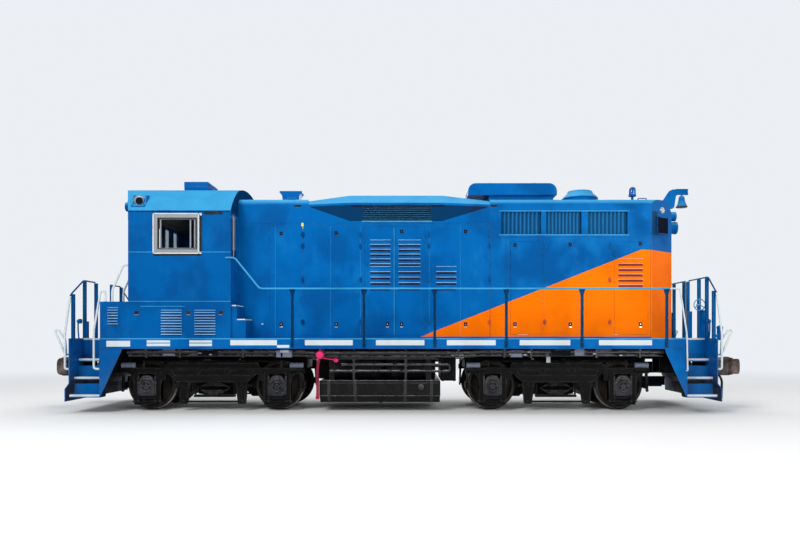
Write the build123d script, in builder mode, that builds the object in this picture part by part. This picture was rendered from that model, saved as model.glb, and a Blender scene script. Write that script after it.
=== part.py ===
from build123d import *
from math import cos, pi, radians, sin
import os

# Four-axle diesel locomotive with its cab at one end. Millimetres, X along the length (cab end
# at -X), Y across, Z up from the lowest point of the wheel flanges. Tubes, pins and small round
# pieces have a few flats, which keeps the model light.

# Wheels and axles
WHEEL_D = 1016
FLANGE_H = 28
FLANGE_W = 36
WHEEL_BACK = 680
WHEEL_W = 140
RIM_H = 62
PLATE_DISH = 35
HUB_R = 135
WHEEL_FLATS = 28
TUBE_FLATS = 6
AXLE_D = 190
JOURNAL_D = 165
JOURNAL_FIT = 0.1
JOURNAL_IN = 900
JOURNAL_OUT = 1070
TRUCK_BASE = 2743
TRUCK_X = {"front": -3920, "rear": 3360}
AXLE_Z = FLANGE_H + WHEEL_D / 2
AXLE_OUT = TRUCK_BASE / 2

# Truck frames, springs and brakes
FRAME_Y = (955, 1075)
FRAME_TOP = 905
FRAME_END = 1940
BEAM_BOTTOM = 623
BEAM_FLAT = 735
ARM_DEPTH = 105
LEG_W = 124
LEG_BOTTOM = 215
TIE_BAR_H = 80
BOX_HALF = 165
BOX_Z = (330, 745)
BOX_OUT = 1120
LID_R = 118
LID_T = 25
RECESS_DEPTH = 25
HOLE_X = 311
HOLE_R = 45
TRANSOM_OUT = 560
TRANSOM_W = 120
TRANSOM_Z = (700, 840)
PLATE_GAP = 0.5
PLATE_R = 300
BOWL_Z = 860
BOLSTER_HALF = 180
BOLSTER_BOTTOM = 730
PLANK_Z = (285, 335)
PLANK_HALF = 430
SPRING_HALF = 330
SPRING_TOP = 620
SPRING_Y = (820, 940)
LEAF_STACK = 62
SPRING_FLATS = 12
CYLINDER_R = 55
CYLINDER_X = (1640, 1920)
ROD_RISE = 145
TOP_RIB = (100, 120)
SHOE_GAP = 6
SHOE_T = 45
SHOE_H = 140
SHOE_Y = 725
HANGER_TOP = (456, 751)
HANGER_FOOT = (530, 700)
HANGER_BOTTOM = 150
MOTOR_HALF = 520
MOTOR_Z = (270, 695)

# Underframe and its ends
HALF_W = 1550
DECK_TOP = 1541
DECK_T = 15
SILL_BOTTOM = 1326
SILL_T = 20
SILL_FLANGE = 120
FRONT_END = -6720
REAR_END = 6540
END_SHEET = 20
WELL_LEN = 640
WELL_Y = 950
CENTRE_Y = 420
CENTRE_T = 40
CENTRE_BOTTOM = 1080
BODY_BOLSTER_HALF = 200
BODY_BOLSTER_DEPTH = 150
BEARERS = (-5300, -2700, -1400, 640, 2100, 4900)
JACK_PAD_LEN = 300
JACK_PAD_H = 36
POCKET_LEN = 700
COUPLER_Z = 904
COUPLER_OUT = {"front": 930, "rear": 1110}
COUPLER_LEN = 1400
HEAD_LEN = 400
HEAD_HALF = 145
SHANK_HALF = 80
SEAT_GAP = 0.3
PILOT_BOTTOM = 248
PILOT_FLARE = 84
FLARE_Z = (502, 619)
TREAD_Z = (390, 741, 1113)
TREAD_T = 12
NOSING_H = 60
GUSSET_LEN = 440

# Cab
CAB_X = (-5505, -3411)
CAB_FLOOR_Z = 2296
CAB_WALL = 60
EAVE_Z = 4150
ROOF_PEAK = 4825
ROOF_SHOULDER = 145
VENT_X = (-4739, -4216)
VENT_RISE = 170
VENT_HALF = 380
VISOR_LEN = 455
VISOR_HALF = 450
GUTTER = 14
SIDE_WINDOW_X = (-4955, -4039)
SIDE_WINDOW_Z = (3303, 4054)
FRAME_LIP = 40
FRAME_PROUD = 15
SASH_W = 60
DOOR_T = 40
CAB_DOOR_Z = (2310, 4110)
DOOR_GLASS_Z = (3170, 4040)
FRONT_DOOR_HALF = 330
FRONT_GLASS_Z = (3350, 4080)
FRONT_GLASS_Y = ((430, 790), (HALF_W - 570, HALF_W - 210))
GLASS_T = 6
REAR_DOOR_Y = (935, HALF_W - 90)
REAR_STEPS = ((294, 1935), (111, 2220))
LOCKER_X = (-6080, -5505)
LOCKER_Y = 900
LOCKER_TOP = 2290
LANDING_STEPS = 3

# Hood
HOOD_X = (-3411, 5380)
HOOD_HALF = 900
HOOD_WALL = 40
HOOD_TOP = 4520
HOOD_R = 130
SIDE_TOP = 3990
RADIATOR_X = 1960
RADIATOR_BOTTOM = 3700
HATCH_X = (-1920, -1035, 945, RADIATOR_X)
HATCH_FOOT = 4040
HATCH_OUT = 200
HATCH_LIP = (4350, 4395)
HATCH_SHOULDER = (920, 4580)
HATCH_CROWN = (400, 4631)
GRILLE_X = (-754, 698)
GRILLE_DEPTH = 30
GRILLE_BARS = 7
SHUTTER_X = ((2193, 3048), (3154, 3913), (4051, 4895))
SHUTTER_Z = (3765, 4245)
SHUTTER_DEPTH = 60
SHUTTER_SLATS = 9
NOSE_X = 5418
NOSE_END = 5968
NOSE_FLAT = 550
NOSE_BROW = ((0, 4240), (63, 4440), (168, HOOD_TOP))
BOARD_W = 370
BOARD_Z = (3778, 4158)
BOARD_T = 30
ENGINE_X = (-2600, 2600)
ENGINE_HALF = 550
ENGINE_TOP = 3200

# Leaves and their hinges
DOOR_GAP = 5
LEAF_PROUD = 5
HINGE_OUT = 9
BARREL_R = 8.5
BARREL_LEN = 60
STRAP_LEN = 38
STRAP_CLEAR = 3
HINGE_SHARES = (0.1, 0.88)

# Hood leaves of one side: name, left and right X, foot and head Z, hinged edge, and whether it opens
LEAVES = (
    ("a", -2639, -2042, 1590, 3928, "right", False),
    ("b", -2032, -1440, 1590, 3928, "left", False),
    ("c", -1430, -800, 1590, 3928, "right", False),
    ("d", -720, -80, 1590, 3928, "left", True),
    ("e", -68, 572, 1590, 3928, "right", True),
    ("f", 650, 1324, 1590, 3928, "left", False),
    ("g", 1334, 1949, 1590, 3928, "right", False),
    ("h", 2392, 3070, 1615, 3600, "right", True),
    ("i", 3120, 3798, 1615, 3600, "left", False),
    ("j", 3808, 4520, 1615, 3600, "right", False),
    ("k", 4610, 5330, 1615, 3600, "left", True),
)

# Pressed louvres: what carries them, left and right X, foot and head Z, and how many slats
LOUVRE_PROUD = 14
LOUVRE_SHARE = 0.55
LOUVRES = (
    ("d", -604, -166, 2605, 3071, 4), ("d", -604, -166, 3124, 3637, 5),
    ("e", 4, 474, 2605, 3071, 4), ("e", 4, 474, 3124, 3637, 5),
    ("f", 805, 1243, 2605, 3071, 4), ("k", 4692, 5226, 2676, 3242, 5),
    ("cab_base", -4829, -4406, 1615, 2115, 9), ("cab_base", -4146, -3719, 1615, 2115, 9),
    ("locker", -5919, -5709, 1828, 2166, 6),
)

# Roof, lamps and bell
COVER_X = (1511, 3443)
COVER_Z = (4650, 4909)
COVER_HALF = 650
COVER_R = 170
FAN_X = 4095
FAN_R = 395
FAN_Z = (4740, 4850)
STACK_X = (-2560, -2290)
STACK_FLARE = 115
STACK_Z = (4690, 4838)
STACK_HALF = 170
BEACON_X = 5288
BEACON_R = 85
BEACON_Z = (4747, 4963)
LAMP_CASE = ((3860, 4420), 160, 130)
LAMPS = ((4030, 140, 312), (4290, 108, 290))
VISOR_CASE = ((4350, 4620), 270, 80)
VISOR_LAMP_R = 95
BELL_X = 6405
BELL_R = 125
BELL_Z = (4498, 4759)
BELL_ARM_T = 40

# Fuel tank and pipes
TANK_X = (-1642, 879)
TANK_Z = (190, 650)
TANK_HALF = HALF_W - 350
TANK_CHAMFER = 140
PIPE_D = 50
PIPE_Y = HALF_W - 400
PIPE_Z = (848, 981, 1114)
PIPE_BEND_X = 1090
CLAMPS = (-930, 160)

# Rails for hands
RAIL_D = 34
RAIL_OUT = 25
RAIL_Z = 2555
RAIL_POSTS = (-2148, -689, 754, 2215, 3760, 5487)
POST_W = 60
POST_T = 16
POST_FLARE = 20
END_POST_W = 50
GRAB_IN = 50
GRAB_FOOT = 912
GRAB_KNEE = 1640
GRAB_OUT = 98
STAIR_RAIL_Z = (2532, 3040)

# End rail posts: how far in from the side, and the top
END_POSTS = {"front": ((127, 2470), (627, 2768), (1157, 2768)),
             "rear": ((127, 2540), (457, 2830), (850, 2830), (1440, 2830))}

FRONT_WELL = FRONT_END + WELL_LEN
REAR_WELL = REAR_END - WELL_LEN
ENDS = (("front", FRONT_END, -1), ("rear", REAR_END, 1))
UNDER_DECK = DECK_TOP - DECK_T
RAIL_Y = HALF_W + RAIL_OUT
VISOR_X = CAB_X[0] - VISOR_LEN


def block(x, y, z, mode=Mode.ADD):
    """Adds a block to the open part, given its (low, high) span along each axis."""
    with Locations((sum(x) / 2, sum(y) / 2, sum(z) / 2)):
        Box(abs(x[1] - x[0]), abs(y[1] - y[0]), z[1] - z[0], mode=mode)


def outline_on(plane, points):
    """A closed polygon drawn on a plane."""
    with BuildSketch(plane) as outline:
        with BuildLine():
            Polyline(*points, close=True)
        make_face()
    return outline.sketch


def rounded_on(plane, corners):
    """A closed outline on a plane from corners given as (x, y, radius)."""
    with BuildSketch(plane) as outline:
        with BuildLine():
            FilletPolyline(*[corner[:2] for corner in corners], close=True,
                           radius=[corner[2] for corner in corners])
        make_face()
    return outline.sketch


def side_plane(y):
    """Plane whose sketch coordinates are (X, Z) and whose normal is -Y."""
    return Plane(origin=(0, y, 0), x_dir=(1, 0, 0), z_dir=(0, -1, 0))


def cross_plane(x):
    """Plane whose sketch coordinates are (Y, Z) and whose normal is +X."""
    return Plane(origin=(x, 0, 0), x_dir=(0, 1, 0), z_dir=(1, 0, 0))


def side_prism(points, y, mode=Mode.ADD):
    """Adds a polygon of (X, Z) points that spans y = (low, high)."""
    extrude(outline_on(side_plane(y[1]), points), amount=y[1] - y[0], mode=mode)


def rounded_side_prism(corners, y, mode=Mode.ADD):
    """Adds an outline of (X, Z, radius) corners that spans y = (low, high)."""
    extrude(rounded_on(side_plane(y[1]), corners), amount=y[1] - y[0], mode=mode)


def cross_prism(points, x, mode=Mode.ADD):
    """Adds a polygon of (Y, Z) points that spans x = (low, high)."""
    extrude(outline_on(cross_plane(x[0]), points), amount=x[1] - x[0], mode=mode)


def plan_prism(points, z, mode=Mode.ADD):
    """Adds a polygon of (X, Y) points that spans z = (low, high)."""
    extrude(outline_on(Plane.XY.offset(z[0]), points), amount=z[1] - z[0], mode=mode)


def flatted_rod(start, end, radius, sides=TUBE_FLATS, mode=Mode.ADD):
    """Adds a straight bar with flats from one point to another; radius is to its flats."""
    start, end = Vector(*start), Vector(*end)
    with BuildSketch(Plane(origin=start, z_dir=end - start)) as section:
        RegularPolygon(radius, sides, major_radius=False)
    extrude(section.sketch, amount=(end - start).length, mode=mode)


def tube(points, diameter):
    """Adds a tube with flats along straight runs mitred at their corners."""
    with BuildLine() as path:
        Polyline(*points)
    with BuildSketch(Plane(origin=path.line @ 0, z_dir=path.line % 0)) as section:
        RegularPolygon(diameter / 2, TUBE_FLATS, major_radius=False)
    sweep(section.sketch, path=path.line, transition=Transition.RIGHT)


def flatted_turning(x, sections, sides):
    """Adds an upright turned form at x with flats, from its sections as (radius to the flats, z)."""
    for low, high in zip(sections, sections[1:]):
        with BuildSketch(Plane(origin=(x, 0, low[1]))) as foot:
            RegularPolygon(low[0], sides, major_radius=False)
        with BuildSketch(Plane(origin=(x, 0, high[1]))) as head:
            RegularPolygon(high[0], sides, major_radius=False)
        loft([foot.sketch, head.sketch], ruled=True)


def louvres(carrier, face, side=1):
    """Adds a carrier's pressed louvres to its face at that distance from the centreline."""
    for name, left, right, foot, head, count in LOUVRES:
        if name != carrier:
            continue
        pitch = (head - foot) / count
        for slat in range(count):
            z = foot + slat * pitch
            cross_prism([(side * face, z), (side * (face + LOUVRE_PROUD), z),
                         (side * face, z + LOUVRE_SHARE * pitch)], (left, right))


def knuckle(axis, along, out, seat, z):
    """One hinge barrel about an upright axis, with the strap that seats it.

    along points from the axis over the face that carries it and out points away from that face."""
    start = (axis[0] + along[0] * STRAP_CLEAR, axis[1] + along[1] * STRAP_CLEAR)
    corner = (axis[0] + along[0] * STRAP_LEN - out[0] * seat,
              axis[1] + along[1] * STRAP_LEN - out[1] * seat)
    depth = (axis[0] + out[0] * BARREL_R / 2, axis[1] + out[1] * BARREL_R / 2)
    x = sorted((corner[0], start[0] if along[0] else depth[0]))
    y = sorted((corner[1], start[1] if along[1] else depth[1]))
    block(x, y, z)
    flatted_rod((*axis, z[0]), (*axis, z[1]), BARREL_R * cos(pi / TUBE_FLATS))


def hinge_rows(foot, head):
    """Heights at which a leaf has its hinges."""
    return [foot + (head - foot) * share for share in HINGE_SHARES]


def leaf_knuckles(axis, along, out, foot, head):
    for z in hinge_rows(foot, head):
        knuckle(axis, along, out, HINGE_OUT, (z, z + BARREL_LEN))


def wall_knuckles(axis, along, out, foot, head, proud):
    back = (-along[0], -along[1])
    for z in hinge_rows(foot, head):
        knuckle(axis, back, out, HINGE_OUT + proud, (z - BARREL_LEN - SEAT_GAP, z - SEAT_GAP))


def finish(part, name):
    """Labels a piece and writes its file."""
    part.label = name
    export_step(part, f"parts/{name}.step")


def about(x, half):
    """Corners (a, z, radius) on one side of a truck's centre, and their mirror image, at x."""
    return [(x + a, *rest) for a, *rest in half] + [(x - a, *rest) for a, *rest in reversed(half)]


def make_truck_frame(x):
    """Cast side frames with their pedestals, journal boxes, tie bars and transoms."""
    leg_in = AXLE_OUT - BOX_HALF - LEG_W
    leg_out = AXLE_OUT + BOX_HALF + LEG_W
    arm = FRAME_TOP - ARM_DEPTH
    side_frame = [
        (FRAME_END, FRAME_TOP, 0), (FRAME_END, arm, 0), (leg_out + 110, arm, 0), (leg_out + 30, arm - 65, 0),
        (leg_out, arm - 220, 0), (leg_out, LEG_BOTTOM, 0), (AXLE_OUT + BOX_HALF, LEG_BOTTOM, 0),
        (AXLE_OUT + BOX_HALF, arm - 10, 0), (AXLE_OUT - BOX_HALF, arm - 10, 0),
        (AXLE_OUT - BOX_HALF, LEG_BOTTOM, 0), (leg_in, LEG_BOTTOM, 0), (leg_in, arm - 220, 0),
        (leg_in - 40, arm - 75, 0), (leg_in - 120, arm - 20, 0), (leg_in - 180, arm - 20, 0),
        (BEAM_FLAT, BEAM_BOTTOM, 200),
    ]
    recess = [(BEAM_FLAT + 120, FRAME_TOP - 40), (BEAM_FLAT + 60, BEAM_BOTTOM + 125)]
    flange = (BEAM_FLAT + 225, FRAME_TOP + TOP_RIB[0], FRAME_TOP + TOP_RIB[1])
    upper = [(flange[0] + 40, FRAME_TOP), (flange[0], flange[1])]
    box = [(BOX_HALF, BOX_Z[0]), (BOX_HALF, BOX_Z[1] - 95), (BOX_HALF - 70, BOX_Z[1])]
    web = (FRAME_Y[0] + 30, FRAME_Y[1] - 30)
    with BuildPart() as frame:
        rounded_side_prism(about(x, side_frame), FRAME_Y)
        side_prism(about(x, recess), (FRAME_Y[1] - RECESS_DEPTH, FRAME_Y[1]), mode=Mode.SUBTRACT)
        for hole in (x - HOLE_X, x + HOLE_X):
            z = FRAME_TOP - 61
            flatted_rod((hole, FRAME_Y[0], z), (hole, FRAME_Y[1], z), HOLE_R, sides=8, mode=Mode.SUBTRACT)
        side_prism(about(x, upper), web)
        block((x - flange[0], x + flange[0]), FRAME_Y, flange[1:])
        for place in (x - AXLE_OUT, x + AXLE_OUT):
            side_prism(about(place, box), (JOURNAL_IN, BOX_OUT))
            flatted_rod((place, BOX_OUT, AXLE_Z), (place, BOX_OUT + LID_T, AXLE_Z), LID_R, sides=10)
            block((place - 60, place + 60), (BOX_OUT, BOX_OUT + LID_T / 2), (AXLE_Z + LID_R, BOX_Z[1] - 30))
            tie_half = BOX_HALF + LEG_W
            block((place - tie_half, place + tie_half), web, (LEG_BOTTOM - TIE_BAR_H, LEG_BOTTOM))
            flatted_rod((place, JOURNAL_IN, AXLE_Z), (place, JOURNAL_OUT + SEAT_GAP, AXLE_Z),
                        JOURNAL_D / 2 + JOURNAL_FIT, sides=8, mode=Mode.SUBTRACT)
        mirror(about=Plane.XZ)
        for end in (-1, 1):
            transom = sorted((x + end * (TRANSOM_OUT - TRANSOM_W), x + end * TRANSOM_OUT))
            block(transom, (-FRAME_Y[0], FRAME_Y[0]), TRANSOM_Z)
    return frame.part


def spring_outline(x, thick):
    """A full elliptic spring seen from the side: two bows with a few flats that meet at their ends."""
    middle = (PLANK_Z[1] + SPRING_TOP) / 2
    rise = (SPRING_TOP - PLANK_Z[1]) / 2 - thick
    half = SPRING_HALF - thick
    turns = [radians(step * 360 / SPRING_FLATS) for step in range(SPRING_FLATS)]
    return outline_on(side_plane(SPRING_Y[1]), [(x + half * cos(t), middle + rise * sin(t)) for t in turns])


def make_bolster(x):
    """Truck bolster with its centre bowl, on elliptic springs over hung spring planks."""
    depth = SPRING_Y[1] - SPRING_Y[0]
    with BuildPart() as bolster:
        extrude(spring_outline(x, 0), amount=depth)
        extrude(spring_outline(x, LEAF_STACK), amount=depth, mode=Mode.SUBTRACT)
        block((x - 70, x + 70), SPRING_Y, (PLANK_Z[1], PLANK_Z[1] + LEAF_STACK + 12))
        block((x - 70, x + 70), SPRING_Y, (SPRING_TOP - LEAF_STACK - 12, BOLSTER_BOTTOM))
        block((x - PLANK_HALF, x + PLANK_HALF), SPRING_Y, PLANK_Z)
        for end in (-1, 1):
            hanger = sorted((x + end * (PLANK_HALF - 30), x + end * PLANK_HALF))
            block(hanger, (SPRING_Y[0] + 30, SPRING_Y[1] - 30), (PLANK_Z[1], TRANSOM_Z[0] + 60))
            pin = sorted((x + end * (PLANK_HALF - 30), x + end * (TRANSOM_OUT - TRANSOM_W)))
            block(pin, (SPRING_Y[0] + 30, SPRING_Y[1] - 30), (TRANSOM_Z[0] + 20, TRANSOM_Z[0] + 60))
        mirror(about=Plane.XZ)
        seat_z = BOWL_Z - PLATE_GAP
        block((x - BOLSTER_HALF, x + BOLSTER_HALF), (-FRAME_Y[0], FRAME_Y[0]), (BOLSTER_BOTTOM, seat_z - 20))
        flatted_rod((x, 0, seat_z - 20), (x, 0, seat_z), PLATE_R + 40, sides=16)
    return bolster.part


def make_brakes(x):
    """Brake cylinders on the frame's ends, with their rods, levers, hangers and shoes."""
    tread_in = AXLE_OUT - WHEEL_D / 2 - SHOE_GAP
    tread_out = AXLE_OUT + WHEEL_D / 2 + SHOE_GAP
    shoe_z = (AXLE_Z - SHOE_H / 2, AXLE_Z + SHOE_H / 2)
    axis_z = FRAME_TOP + CYLINDER_R + 10
    axis_y = FRAME_Y[1] - 20
    web = (FRAME_Y[0] + 30, FRAME_Y[1] - 30)
    arm = FRAME_TOP - ARM_DEPTH
    rod_end = AXLE_OUT + BOX_HALF / 2
    rod_z = FRAME_TOP + ROD_RISE
    with BuildPart() as brakes:
        for end in (-1, 1):
            def at(*places):
                return sorted(x + end * a for a in places)
            flatted_rod((x + end * CYLINDER_X[0], axis_y, axis_z), (x + end * CYLINDER_X[1], axis_y, axis_z),
                        CYLINDER_R, sides=8)
            block(at(CYLINDER_X[0] + 50, CYLINDER_X[1] - 50), (axis_y - CYLINDER_R, FRAME_Y[1]),
                  (FRAME_TOP, FRAME_TOP + 25))
            flatted_rod((x + end * rod_end, axis_y, axis_z), (x + end * CYLINDER_X[0], axis_y, axis_z), 15)
            block(at(rod_end - 18, rod_end + 18), (axis_y - 18, axis_y + 18), (FRAME_TOP, rod_z + 20))
            hanger = [(HANGER_TOP[0], BEAM_BOTTOM), (HANGER_TOP[1], BEAM_BOTTOM),
                      (HANGER_FOOT[1], HANGER_BOTTOM), (HANGER_FOOT[0], HANGER_BOTTOM)]
            side_prism([(x + end * a, z) for a, z in hanger], web)
            block(at(HANGER_FOOT[1] - 40, tread_in - SHOE_T), (SHOE_Y, web[0]), (AXLE_Z - 25, AXLE_Z + 25))
            block(at(tread_in - SHOE_T, tread_in), (SHOE_Y, WHEEL_BACK + WHEEL_W), shoe_z)
            block(at(tread_out, tread_out + SHOE_T), (SHOE_Y, web[1]), shoe_z)
            link = [(tread_out + SHOE_T, shoe_z[0] - 60), (tread_out + 5, shoe_z[0] - 60),
                    (tread_out - 15, arm), (tread_out + 35, arm)]
            side_prism([(x + end * a, z) for a, z in link], web)
        flatted_rod((x - rod_end + 18, axis_y, rod_z), (x + rod_end - 18, axis_y, rod_z), 17)
        mirror(about=Plane.XZ)
    return brakes.part


def make_motors(x):
    """Two traction motors, each slung between its axle and the transoms."""
    near = AXLE_OUT - AXLE_D / 2 - 20
    with BuildPart() as motors:
        for end in (-1, 1):
            case = [(near, MOTOR_Z[0]), (near, MOTOR_Z[1] - 60), (near - 60, MOTOR_Z[1]),
                    (TRANSOM_OUT + 40, MOTOR_Z[1]), (TRANSOM_OUT + 40, MOTOR_Z[0] + 120),
                    (TRANSOM_OUT + 160, MOTOR_Z[0])]
            side_prism([(x + end * a, z) for a, z in case], (-MOTOR_HALF, MOTOR_HALF))
            nose = sorted((x + end * TRANSOM_OUT, x + end * (TRANSOM_OUT + 140)))
            block(nose, (-150, 150), (MOTOR_Z[1] - 95, TRANSOM_Z[1] - 40))
    return motors.part


def make_wheelset(x):
    """An axle with its two wheels and journals, as one body; the wheels have WHEEL_FLATS flats."""
    wheel_r = WHEEL_D / 2
    out = WHEEL_BACK + WHEEL_W
    rim_r = wheel_r - RIM_H

    def disc(y, radius, sides=WHEEL_FLATS, mode=Mode.ADD):
        """Adds a disc about the axle over y = (low, high), with a corner at its lowest point."""
        turned = Plane(origin=(x, y[0], AXLE_Z), x_dir=(0, 0, -1), z_dir=(0, 1, 0))
        with BuildSketch(turned) as section:
            RegularPolygon(radius, sides)
        extrude(section.sketch, amount=y[1] - y[0], mode=mode)

    with BuildPart() as wheelset:
        disc((WHEEL_BACK, WHEEL_BACK + FLANGE_W), wheel_r + FLANGE_H)
        disc((WHEEL_BACK, out), wheel_r)
        disc((out - PLATE_DISH, out), rim_r, mode=Mode.SUBTRACT)
        disc((WHEEL_BACK - 30, out - 8), HUB_R, sides=12)
        disc((out - 8, JOURNAL_OUT), JOURNAL_D / 2, sides=12)
        mirror(about=Plane.XZ)
        disc((-WHEEL_BACK, WHEEL_BACK), AXLE_D / 2, sides=12)
    return wheelset.part


def make_coupler(face, sign):
    """Knuckle coupler: shank, head with its guard arm, and the hooked knuckle; sign is -1 in front."""
    def along(corners):
        return [(face - sign * back, sign * y, r) for back, y, r in corners]
    head = along([(HEAD_LEN, -110, 0), (HEAD_LEN, 110, 0), (290, 160, 0), (230, 245, 0), (50, 262, 0),
                  (5, 235, 0), (95, 130, 0), (135, 20, 60), (150, -90, 0), (270, -165, 0)])
    hook = along([(270, -120, 0), (140, -20, 0), (40, -35, 0), (0, -85, 0), (0, -165, 0), (70, -222, 60),
                  (200, -205, 0)])
    tail = face - sign * COUPLER_LEN
    with BuildPart() as coupler:
        block(sorted((tail, face - sign * HEAD_LEN)), (-SHANK_HALF, SHANK_HALF),
              (COUPLER_Z - SHANK_HALF, COUPLER_Z + SHANK_HALF))
        extrude(rounded_on(Plane.XY.offset(COUPLER_Z - HEAD_HALF), head), amount=2 * HEAD_HALF)
        extrude(rounded_on(Plane.XY.offset(COUPLER_Z - HEAD_HALF + 25), hook), amount=2 * HEAD_HALF - 50)
    return coupler.part


def make_pilot(end, sign):
    """End sheet that flares out at its foot, with the coupler's opening."""
    inner = end - sign * END_SHEET
    flare = end + sign * PILOT_FLARE
    sheet = [
        (end, DECK_TOP), (end, FLARE_Z[1]), (flare, FLARE_Z[0]), (flare, PILOT_BOTTOM),
        (flare - sign * END_SHEET, PILOT_BOTTOM), (flare - sign * END_SHEET, FLARE_Z[0] + 6),
        (inner, FLARE_Z[1] + 6), (inner, DECK_TOP),
    ]
    with BuildPart() as pilot:
        side_prism(sheet, (-HALF_W, HALF_W))
        opening = sorted((inner - sign * 5, flare + sign * 5))
        block(opening, (-300, 300), (FLARE_Z[1] + 41, COUPLER_Z + HEAD_HALF + 11), mode=Mode.SUBTRACT)
    return pilot.part


def make_steps(end, sign):
    """Corner steps at one end: treads, risers, inboard stringer and its gusset."""
    well = end - sign * WELL_LEN
    inner = end - sign * END_SHEET
    reach = (HALF_W - WELL_Y) / 3
    foot = TREAD_Z[0] - NOSING_H
    with BuildPart() as steps:
        stringer = [(WELL_Y, UNDER_DECK), (WELL_Y, TREAD_Z[2] - NOSING_H), (HALF_W - reach - 60, foot),
                    (HALF_W, foot), (HALF_W, SILL_BOTTOM), (HALF_W - SILL_T, SILL_BOTTOM),
                    (HALF_W - SILL_T, UNDER_DECK)]
        cross_prism(stringer, sorted((well, well + sign * TREAD_T)))
        for level, z in enumerate(TREAD_Z):
            low = HALF_W - reach * (level + 1)
            high = HALF_W - reach * level
            tread = sorted((well, inner))
            block(tread, (low - 20, high), (z - TREAD_T, z))
            block(tread, (high - 8, high), (z - NOSING_H, z - TREAD_T))
            above = UNDER_DECK if level == 2 else TREAD_Z[level + 1] - TREAD_T
            block(tread, (low - 20, low - 12), (z, z + 0.62 * (above - z)))
        gusset_end = well - sign * GUSSET_LEN
        gusset = [(well, SILL_BOTTOM), (gusset_end, SILL_BOTTOM), (gusset_end, SILL_BOTTOM - 43),
                  (well, foot)]
        side_prism(gusset, (HALF_W - TREAD_T, HALF_W))
        mirror(about=Plane.XZ)
    return steps.part


os.makedirs("parts", exist_ok=True)

# Underframe: deck, sills, bolsters, bearers and coupler pockets as one weldment
with BuildPart() as underframe:
    inside = HALF_W - SILL_T
    block((FRONT_END + END_SHEET, REAR_END - END_SHEET), (-WELL_Y, WELL_Y), (UNDER_DECK, DECK_TOP))
    block((FRONT_WELL, REAR_WELL), (-HALF_W, HALF_W), (UNDER_DECK, DECK_TOP))
    for side in (-1, 1):
        block((FRONT_WELL, REAR_WELL), sorted((side * HALF_W, side * inside)), (SILL_BOTTOM, UNDER_DECK))
        flange = sorted((side * inside, side * (HALF_W - SILL_FLANGE)))
        block((FRONT_WELL, REAR_WELL), flange, (SILL_BOTTOM, SILL_BOTTOM + SILL_T))
        centre = sorted((side * CENTRE_Y, side * (CENTRE_Y - CENTRE_T)))
        block((FRONT_END + END_SHEET, REAR_END - END_SHEET), centre, (CENTRE_BOTTOM, UNDER_DECK))
    bottom_plate = (FRONT_END + POCKET_LEN, REAR_END - POCKET_LEN)
    block(bottom_plate, (-CENTRE_Y, CENTRE_Y), (CENTRE_BOTTOM, CENTRE_BOTTOM + 30))
    for x in BEARERS:
        block((x - 50, x + 50), (-inside, inside), (SILL_BOTTOM, UNDER_DECK))
    for x in TRUCK_X.values():
        span = (x - BODY_BOLSTER_HALF, x + BODY_BOLSTER_HALF)
        block(span, (-inside, inside), (SILL_BOTTOM + SILL_T, UNDER_DECK))
        clear = HALF_W - SILL_FLANGE - 20
        block(span, (-clear, clear), (SILL_BOTTOM - BODY_BOLSTER_DEPTH, SILL_BOTTOM + SILL_T))
        for side in (-1, 1):
            pad = sorted((side * HALF_W, side * (HALF_W - SILL_FLANGE)))
            block((x - JACK_PAD_LEN / 2, x + JACK_PAD_LEN / 2), pad, (SILL_BOTTOM - JACK_PAD_H, SILL_BOTTOM))
        flatted_rod((x, 0, BOWL_Z), (x, 0, CENTRE_BOTTOM), PLATE_R, sides=16)
    for name, end, sign in ENDS:
        rear_wall = end - sign * (POCKET_LEN + 20)
        pocket = sorted((end - sign * END_SHEET, rear_wall))
        floor = COUPLER_Z - HEAD_HALF + 25
        block(pocket, (-CENTRE_Y + CENTRE_T, CENTRE_Y - CENTRE_T), (CENTRE_BOTTOM, CENTRE_BOTTOM + 40))
        for side in (-1, 1):
            block(pocket, sorted((side * 200, side * 240)), (floor, CENTRE_BOTTOM))
        block(pocket, (-240, 240), (floor - 20, floor))
        tail = end + sign * (COUPLER_OUT[name] - COUPLER_LEN - SEAT_GAP)
        block(sorted((tail, tail - sign * 180)), (-200, 200), (floor, CENTRE_BOTTOM))
        carrier = sorted((end - sign * END_SHEET, end - sign * 120))
        block(carrier, (-200, 200), (floor, COUPLER_Z - SHANK_HALF - SEAT_GAP))
finish(underframe.part, "underframe")

for name, end, sign in ENDS:
    finish(make_pilot(end, sign), f"{name}_pilot")
    finish(make_steps(end, sign), f"{name}_steps")
    finish(make_coupler(end + sign * COUPLER_OUT[name], sign), f"{name}_coupler")

for name, x in TRUCK_X.items():
    finish(make_truck_frame(x), f"{name}_truck_frame")
    finish(make_bolster(x), f"{name}_truck_bolster")
    finish(make_brakes(x), f"{name}_truck_brakes")
    finish(make_motors(x), f"{name}_traction_motors")
    for number, axle in ((1, -AXLE_OUT), (2, AXLE_OUT)):
        finish(make_wheelset(x + axle), f"{name}_wheelset_{number}")


def roof_arch(inset):
    """The cab roof's section, taken in by an inset: a crown arc between two shoulder arcs."""
    width = HALF_W - inset
    peak = ROOF_PEAK - inset
    knee = (0.58 * width, peak - ROOF_SHOULDER)
    side = (0.82 * width, EAVE_Z + 0.44 * (peak - EAVE_Z))
    with BuildSketch() as arch:
        with BuildLine():
            ThreePointArc((width, EAVE_Z), side, knee)
            ThreePointArc(knee, (0, peak), (-knee[0], knee[1]))
            ThreePointArc((-knee[0], knee[1]), (-side[0], side[1]), (-width, EAVE_Z))
            Line((-width, EAVE_Z), (width, EAVE_Z))
        make_face()
    return arch.sketch


def arch_between(x, inset, mode=Mode.ADD):
    """Adds the roof's arch, inset from the outside, over a span of X."""
    extrude(cross_plane(x[0]) * roof_arch(inset), amount=x[1] - x[0], mode=mode)


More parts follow.
